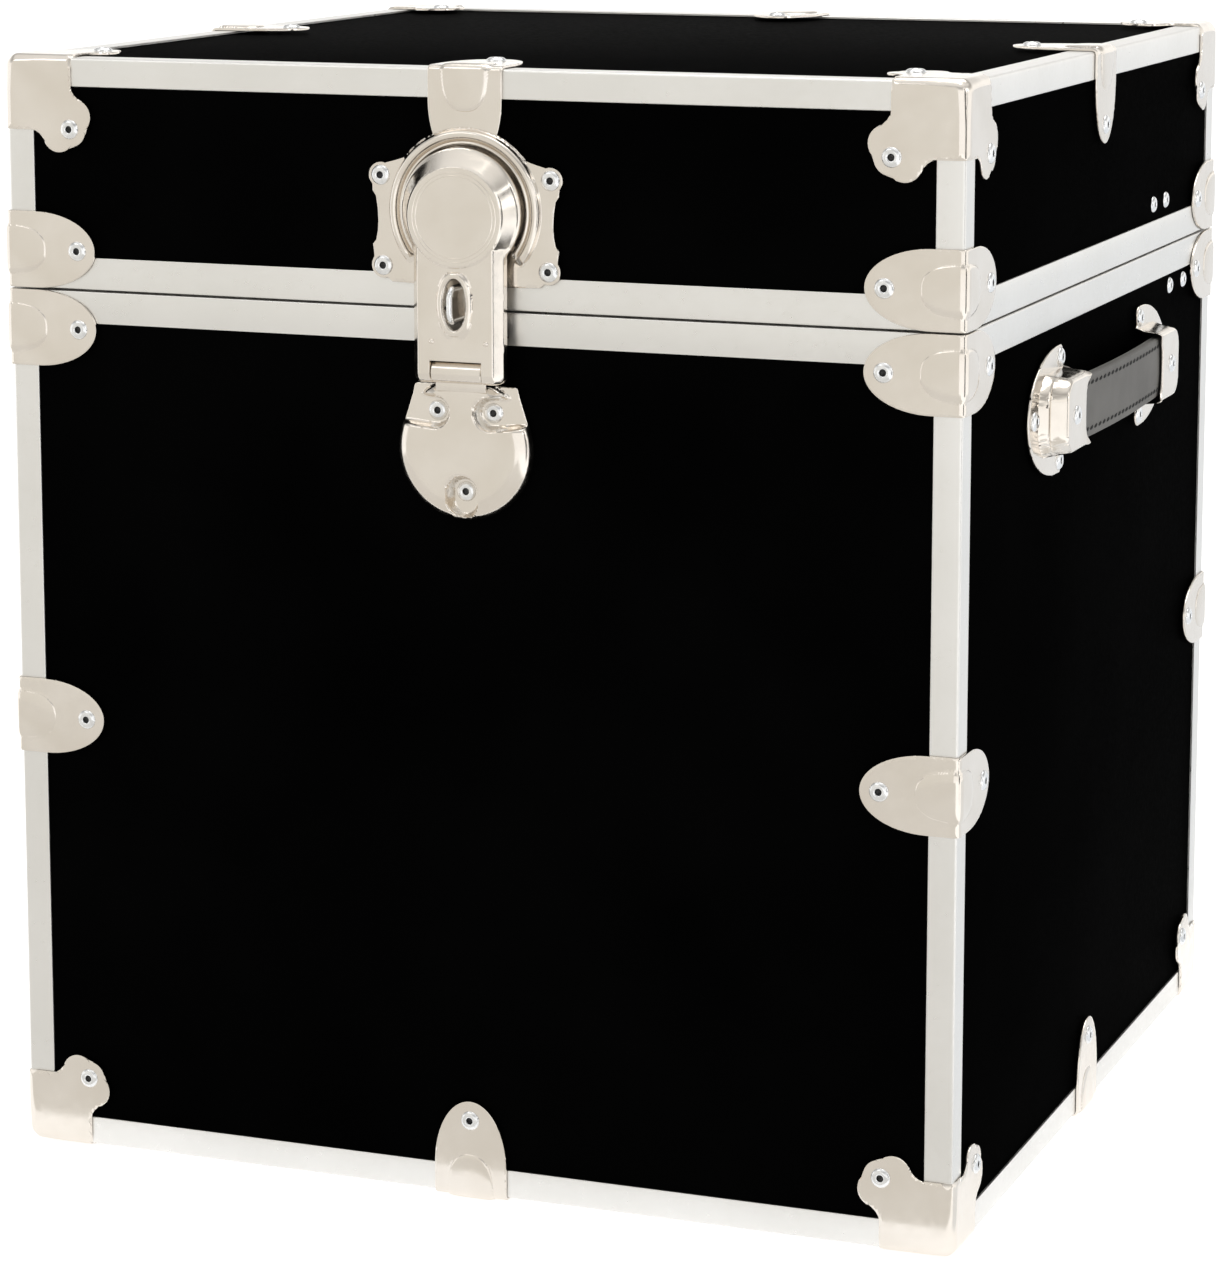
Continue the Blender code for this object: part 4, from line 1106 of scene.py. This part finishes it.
def loop_height(u, v):
    """How far a handle loop's back stands out: a flat crescent, a low step, and the strap's pocket."""
    step = (STEP_OUT - SKIN) * plateau(u, v, *LOOP_STEP)
    top = (BRIDGE_OUT - SKIN) * plateau(u, v, *LOOP_BRIDGE)
    flare = LOOP_FLARE * min(max(79.5 - u, 0.0) / 5.0, 1.0) ** 2 if top > step else 0.0
    return CLEAR + max(step, top) + flare


def loop_outline():
    end, along, across = LOOP_NOSE
    nose = [(end - along * (1 - math.cos(t)), across * math.sin(t)) for t in turns(0, 84, 4)]
    tip = arc((81.6, 27.0), 5.4, 92, 228, 8)
    lip = [(76.2, 21.8), (74.9, 20.4), (74.5, 18.8), (74.7, 17.2), (75.9, 15.4)]
    lip += [(77.6, 13.8), (79.2, 11.6), (80.2, 8.6), (80.6, 4.0), (80.7, 0.0)]
    half = nose + tip + lip
    return half + [(u, -v) for u, v in reversed(half[1:-1])]


def loop_mesh(name, sign):
    z = FOOT + HANDLE_Z
    inner = grid(steps(74.6, 124, 0.9), steps(-23.4, 23.4, 0.9))
    inner += grid(steps(76, 138, 2.2), steps(24.6, 33, 2.2) + steps(-33, -24.6, 2.2))
    inner += grid(steps(125.2, 138, 2.2), steps(-22, 22, 2.2))

    def place(u, v, out):
        return Vector((HALF + out, sign * u, z + v))

    shape = stamped(finer(loop_outline(), 1.6), inner, loop_height, place, roll=0.5)
    spots = [(place(u, v, SKIN), (1, 0, 0)) for u, v in LOOP_RIVETS]
    spots.append((place(BRIDGE_RIVET, 0.0, BRIDGE_OUT), (1, 0, 0)))
    return mesh_of(name, *shape, NICKEL, sharp=50), rivets(name + "_rivets", spots)


def ply(front, back, face):
    """One layer of the strap. The face is crowned, and pressed a little along its stitches."""
    rings = []
    middle = (front + back) / 2
    for y in steps(-GRIP_END, GRIP_END, 3.0):
        section = []
        for v in steps(-GRIP_HALF, GRIP_HALF, 0.8):
            edge = max(0.0, abs(v) - GRIP_HALF + 0.8) / 0.8
            groove = 0.15 * math.exp(-(((abs(v) - STITCH_ROW) / 0.7) ** 2)) if face else 0.0
            crown = 0.35 * (1 - (v / GRIP_HALF) ** 2) if face else 0.0
            section.append((v, middle + (front - middle + crown - groove) * dome(edge**2)))
        section += [(v, back) for v in (GRIP_HALF - 0.5, 0.0, 0.5 - GRIP_HALF)]
        rings.append([Vector((HALF + grip_out(y) + out, y, FOOT + HANDLE_Z + v)) for v, out in section])
    return loft(rings)


def stitches():
    """Two rows of slightly slanting stitches, each sunk at its ends."""
    made = []
    out = HALF + PLIES["face"][0] + 0.1
    along = (-2.2, -1.7, -1.0, 0.0, 1.0, 1.7, 2.2)
    for sign in (-1, 1):
        row = FOOT + HANDLE_Z + sign * STITCH_ROW
        for y in steps(-STITCH_REACH, STITCH_REACH, STITCH_PITCH):
            path = [Vector((out + grip_out(y + d) - 0.15 * d * d, y + d, row + 0.3 * d)) for d in along]
            made.append(swept(path, STITCH_WIRE, 8))
    return merged(made)


def handles():
    rear, rear_rivets = loop_mesh("handle_rear_loop", 1)
    front, front_rivets = loop_mesh("handle_front_loop", -1)
    layers = {}
    for name, (outer, inner) in PLIES.items():
        layers[name] = mesh_of("grip_" + name, *ply(outer, inner, name == "face"), LEATHER)
    layers["stitches"] = mesh_of("grip_stitches", *stitches(), THREAD)
    for side, turn in (("right", quarter(0)), ("left", quarter(2))):
        grip = f"{side}_handle_grip"
        for name, mesh in layers.items():
            piece(f"{grip}_{name}", mesh, grip, turn, name == "face")
        for end, mesh, heads in (("rear", rear, rear_rivets), ("front", front, front_rivets)):
            node = f"{side}_handle_{end}_loop"
            piece(node + "_shell", mesh, node, turn, True)
            piece(node + "_rivets", heads, node, turn)


# ------------------------------------------------------- hinge and lid stay


def hinge():
    axis = PIVOTS["lid_hinge"] - Vector((0, CENTRE_Y, 0))
    knuckles = 13
    reach = 198.0
    pitch = 2 * reach / knuckles
    roll = [(1.6, 0.0), (2.9, 0.0), (3.0, 0.15), (3.0, pitch - 0.45), (2.9, pitch - 0.3), (1.6, pitch - 0.3)]
    for node, own, side in (("hinge_body_leaf", 0, -1), ("hinge_lid_leaf", 1, 1)):
        z = sorted((axis.z + side * 2.0, axis.z + side * 18.0))
        shapes = [rounded_box((-reach, HALF + CLEAR, z[0]), (reach, HALF + CLEAR + 1.0, z[1]), 0.3)]
        for number in range(own, knuckles, 2):
            start = -reach + number * pitch + 0.15
            z = sorted((axis.z + side * 1.9, axis.z + side * 2.9))
            end = start + pitch - 0.3
            shapes.append(rounded_box((start, HALF + CLEAR, z[0]), (end, axis.y + 0.4, z[1]), 0.25))
            shapes.append(turned(roll, (start, axis.y, axis.z), (1, 0, 0), 24))
        solid(node + "_rolled", merged(shapes), ZINC, node)
        spots = [((-170.0 + 68.0 * i, HALF + CLEAR + 1.0, axis.z + side * 11.0), (0, 1, 0)) for i in range(6)]
        piece(node + "_rivets", rivets(node + "_heads", spots, 0.9), node)
    profile = double_ended([(1.3, reach - 0.4), (1.0, reach + 0.1), (0.05, reach + 0.2)])
    solid("hinge_pin_rod", turned(profile, axis, (1, 0, 0), 16), ZINC, "hinge_pin")


def lid_stay():
    """Two flat arms with round ends, two brackets, their studs, and the rivets that show outside."""
    shift = Vector((0, CENTRE_Y, 0))
    lower, upper = PIVOTS["stay_lower_pivot"] - shift, PIVOTS["stay_upper_pivot"] - shift
    axis = PIVOTS["lid_hinge"] - shift
    elbow = lower + upper - axis
    for node, start in (("stay_lower_arm", lower), ("stay_upper_arm", upper)):
        first = span(node)[1].x - 1.5
        a, b = (start.y, start.z), (elbow.y, elbow.z)
        turn = math.degrees(math.atan2(b[1] - a[1], b[0] - a[0]))
        outline = arc(b, 6.5, turn - 90, turn + 90, 20) + arc(a, 6.5, turn + 90, turn + 270, 20)
        inner = grid(steps(a[0] - 8, a[0] + 8, 3), steps(a[1] - 8, a[1] + 8, 3))
        shape = stamped(outline, inner, lambda u, v: first, lambda u, v, out: Vector((out, u, v)), 1.5)
        solid(node + "_plate", shape, ZINC, node)
    ends = {"stay_body_bracket": lower, "stay_lid_bracket": upper}
    for node, at in ends.items():
        low, high = span(node)
        face = (high.x - 1.5, at.y - 22.0, at.z - 8.0), (high.x, at.y + 22.0, at.z + 8.0)
        reach = high.x - low.x - 1.5
        shank = [(0.05, 0.0), (2.6, 0.0), (2.6, reach - 0.4), (2.2, reach), (0.05, reach)]
        shapes = [rounded_box(*face, 0.35), turned(shank, (high.x - 1.5, at.y, at.z), (-1, 0, 0), 20)]
        solid(node + "_plate", merged(shapes), ZINC, node)
    arm_x, far_x = (corner.x for corner in span("stay_lower_arm"))
    length = far_x - arm_x
    pin = [(0.05, 0.0), (2.2, 0.0), (2.6, 0.4), (2.6, length - 1.0), (0.05, length - 1.0)]
    shape = turned(pin, (arm_x, elbow.y, elbow.z), (1, 0, 0), 20)
    solid("stay_elbow_pin", shape, ZINC, "stay_lower_arm", stands_for=False)
    for node, spots in (
        ("stay_lid_bracket", ((117.4, 468.5), (144.9, 468.5))),
        ("stay_body_bracket", ((158.6, 420.0), (189.5, 420.0))),
    ):
        heads = [((HALF - SKIN, y, FOOT + z), (1, 0, 0)) for y, z in spots]
        piece(node + "_outer_rivets", rivets(node + "_heads", heads, 0.9), node)


# ----------------------------------------------------------- floor and light


def sky():
    """A pale room, with a dim band part way up so that the metal has something to reflect."""
    world = bpy.data.worlds.new("studio")
    bpy.context.scene.world = world
    world.use_nodes = True
    nodes, links = world.node_tree.nodes, world.node_tree.links
    where = nodes.new("ShaderNodeTexCoord")
    split = nodes.new("ShaderNodeSeparateXYZ")
    bands = nodes.new("ShaderNodeValToRGB")
    height = nodes.new("ShaderNodeMapRange")
    height.inputs["From Min"].default_value = -1.0
    links.new(where.outputs["Generated"], split.inputs["Vector"])
    links.new(split.outputs["Z"], height.inputs["Value"])
    links.new(height.outputs["Result"], bands.inputs["Fac"])
    for place in (0.6, 0.7, 0.8, 0.9):
        bands.color_ramp.elements.new(place)
    for element, grey in zip(bands.color_ramp.elements, (0.9, 1.0, 0.6, 0.36, 0.75, 0.85)):
        element.color = (grey, grey * 0.99, grey * 0.97, 1)
    links.new(bands.outputs["Color"], nodes["Background"].inputs["Color"])
    nodes["Background"].inputs["Strength"].default_value = 1.2


def lamps():
    for name, size, power, place in (
        ("key", 1.6, 14.0, (-1.6, -2.2, 2.2)),
        ("fill", 1.4, 9.0, (2.6, -1.2, 1.6)),
        ("top", 1.8, 20.0, (0.2, 0.4, 2.6)),
    ):
        data = bpy.data.lights.new(name, "AREA")
        data.size = size
        data.energy = power
        lamp = bpy.data.objects.new(name, data)
        lamp.location = place
        lamp.rotation_euler = (Vector((0, 0, 0.3)) - Vector(place)).to_track_quat("-Z", "Y").to_euler()
        bpy.context.scene.collection.objects.link(lamp)


def card(name, colour, low, high, place, heading=0.0):
    """A card that only the metal's reflections see. low and high are its corners about its own foot."""
    made, shader = surface(name, (0.01, 0.01, 0.01), 0.0, 1.0, 0.0)
    cloud = pattern(made, "ShaderNodeTexNoise", 2.0)
    dimmer = tuple(c * 0.97 for c in colour)
    ramp(made, cloud, shader.inputs["Emission Color"], [(0.3, dimmer), (0.7, colour)])
    shader.inputs["Emission Strength"].default_value = 1.0
    mesh = bpy.data.meshes.new(name)
    (x0, y0, z0), (x1, y1, z1) = low, high
    corners = [(x0, y0, z0), (x1, y0, z0), (x1, y1, z1), (x0, y1, z1)]
    mesh.from_pydata(corners, [], [(0, 1, 2, 3)])
    mesh.materials.append(made)
    obj = bpy.data.objects.new(name, mesh)
    bpy.context.scene.collection.objects.link(obj)
    obj.location = place
    obj.rotation_euler = (0, 0, math.radians(heading + 90))
    obj.visible_camera = False
    obj.visible_diffuse = False
    obj.visible_shadow = False
    obj.visible_transmission = False


def upright_card(name, colour, heading, distance, width, height):
    """A card that stands on the floor and faces the trunk, in that heading from it."""
    turn = math.radians(heading)
    place = (distance * math.cos(turn), distance * math.sin(turn), 0.004)
    card(name, colour, (-width / 2, 0, 0), (width / 2, 0, height), place, heading)


def studio():
    sky()
    lamps()
    warm, cool = (0.84, 0.82, 0.77), (0.90, 0.92, 0.94)
    upright_card("warm_card", warm, -115.0, 1.5, 1.5, 1.6)
    upright_card("cool_card", cool, 62.0, 1.8, 2.6, 0.5)
    upright_card("dark_card", (0.03, 0.03, 0.03), -30.0, 1.45, 0.3, 1.3)
    card("front_floor_card", (0.79, 0.77, 0.73), (-1.6, -1.7, 0.0), (0.5, -0.28, 0.0), (0, 0, 0.003), -90.0)
    card("side_floor_card", cool, (0.28, -0.25, 0.0), (1.9, 2.4, 0.0), (0, 0, 0.003), -90.0)


def floor():
    made, shader = surface("pale_floor", (0.6, 0.6, 0.6), 0.0, 0.9, 0.1)
    cloud = pattern(made, "ShaderNodeTexNoise", 3.0)
    ramp(made, cloud, shader.inputs["Base Color"], [(0.3, 0.58), (0.7, 0.6)])
    ramp(made, cloud, shader.inputs["Emission Color"], [(0.3, 0.98), (0.7, 1.0)])
    shader.inputs["Emission Strength"].default_value = 0.7
    mesh = bpy.data.meshes.new("floor")
    mesh.from_pydata([(-30, -30, 0), (30, -30, 0), (30, 30, 0), (-30, 30, 0)], [], [(0, 1, 2, 3)])
    mesh.materials.append(made)
    obj = bpy.data.objects.new("floor", mesh)
    bpy.context.scene.collection.objects.link(obj)


def camera():
    """The view down on the trunk's front and right side."""
    data = bpy.data.cameras.new("view")
    data.sensor_width = 36.0
    data.lens = 117.70
    data.shift_y = -0.14314
    data.clip_end = 200.0
    obj = bpy.data.objects.new("view", data)
    obj.location = (0.774777, -2.050089, 0.696988)
    obj.rotation_euler = (math.radians(90 - 9.2094), 0, math.radians(21.171))
    bpy.context.scene.collection.objects.link(obj)
    bpy.context.scene.camera = obj


def main():
    boards()
    edging()
    clamps()
    caps()
    lid_lock_plate()
    staple()
    body_lock_plate()
    hasp()
    hasp_pin()
    handles()
    hinge()
    lid_stay()
    studio()
    floor()
    camera()
    bpy.context.scene.view_settings.view_transform = "Standard"


main()
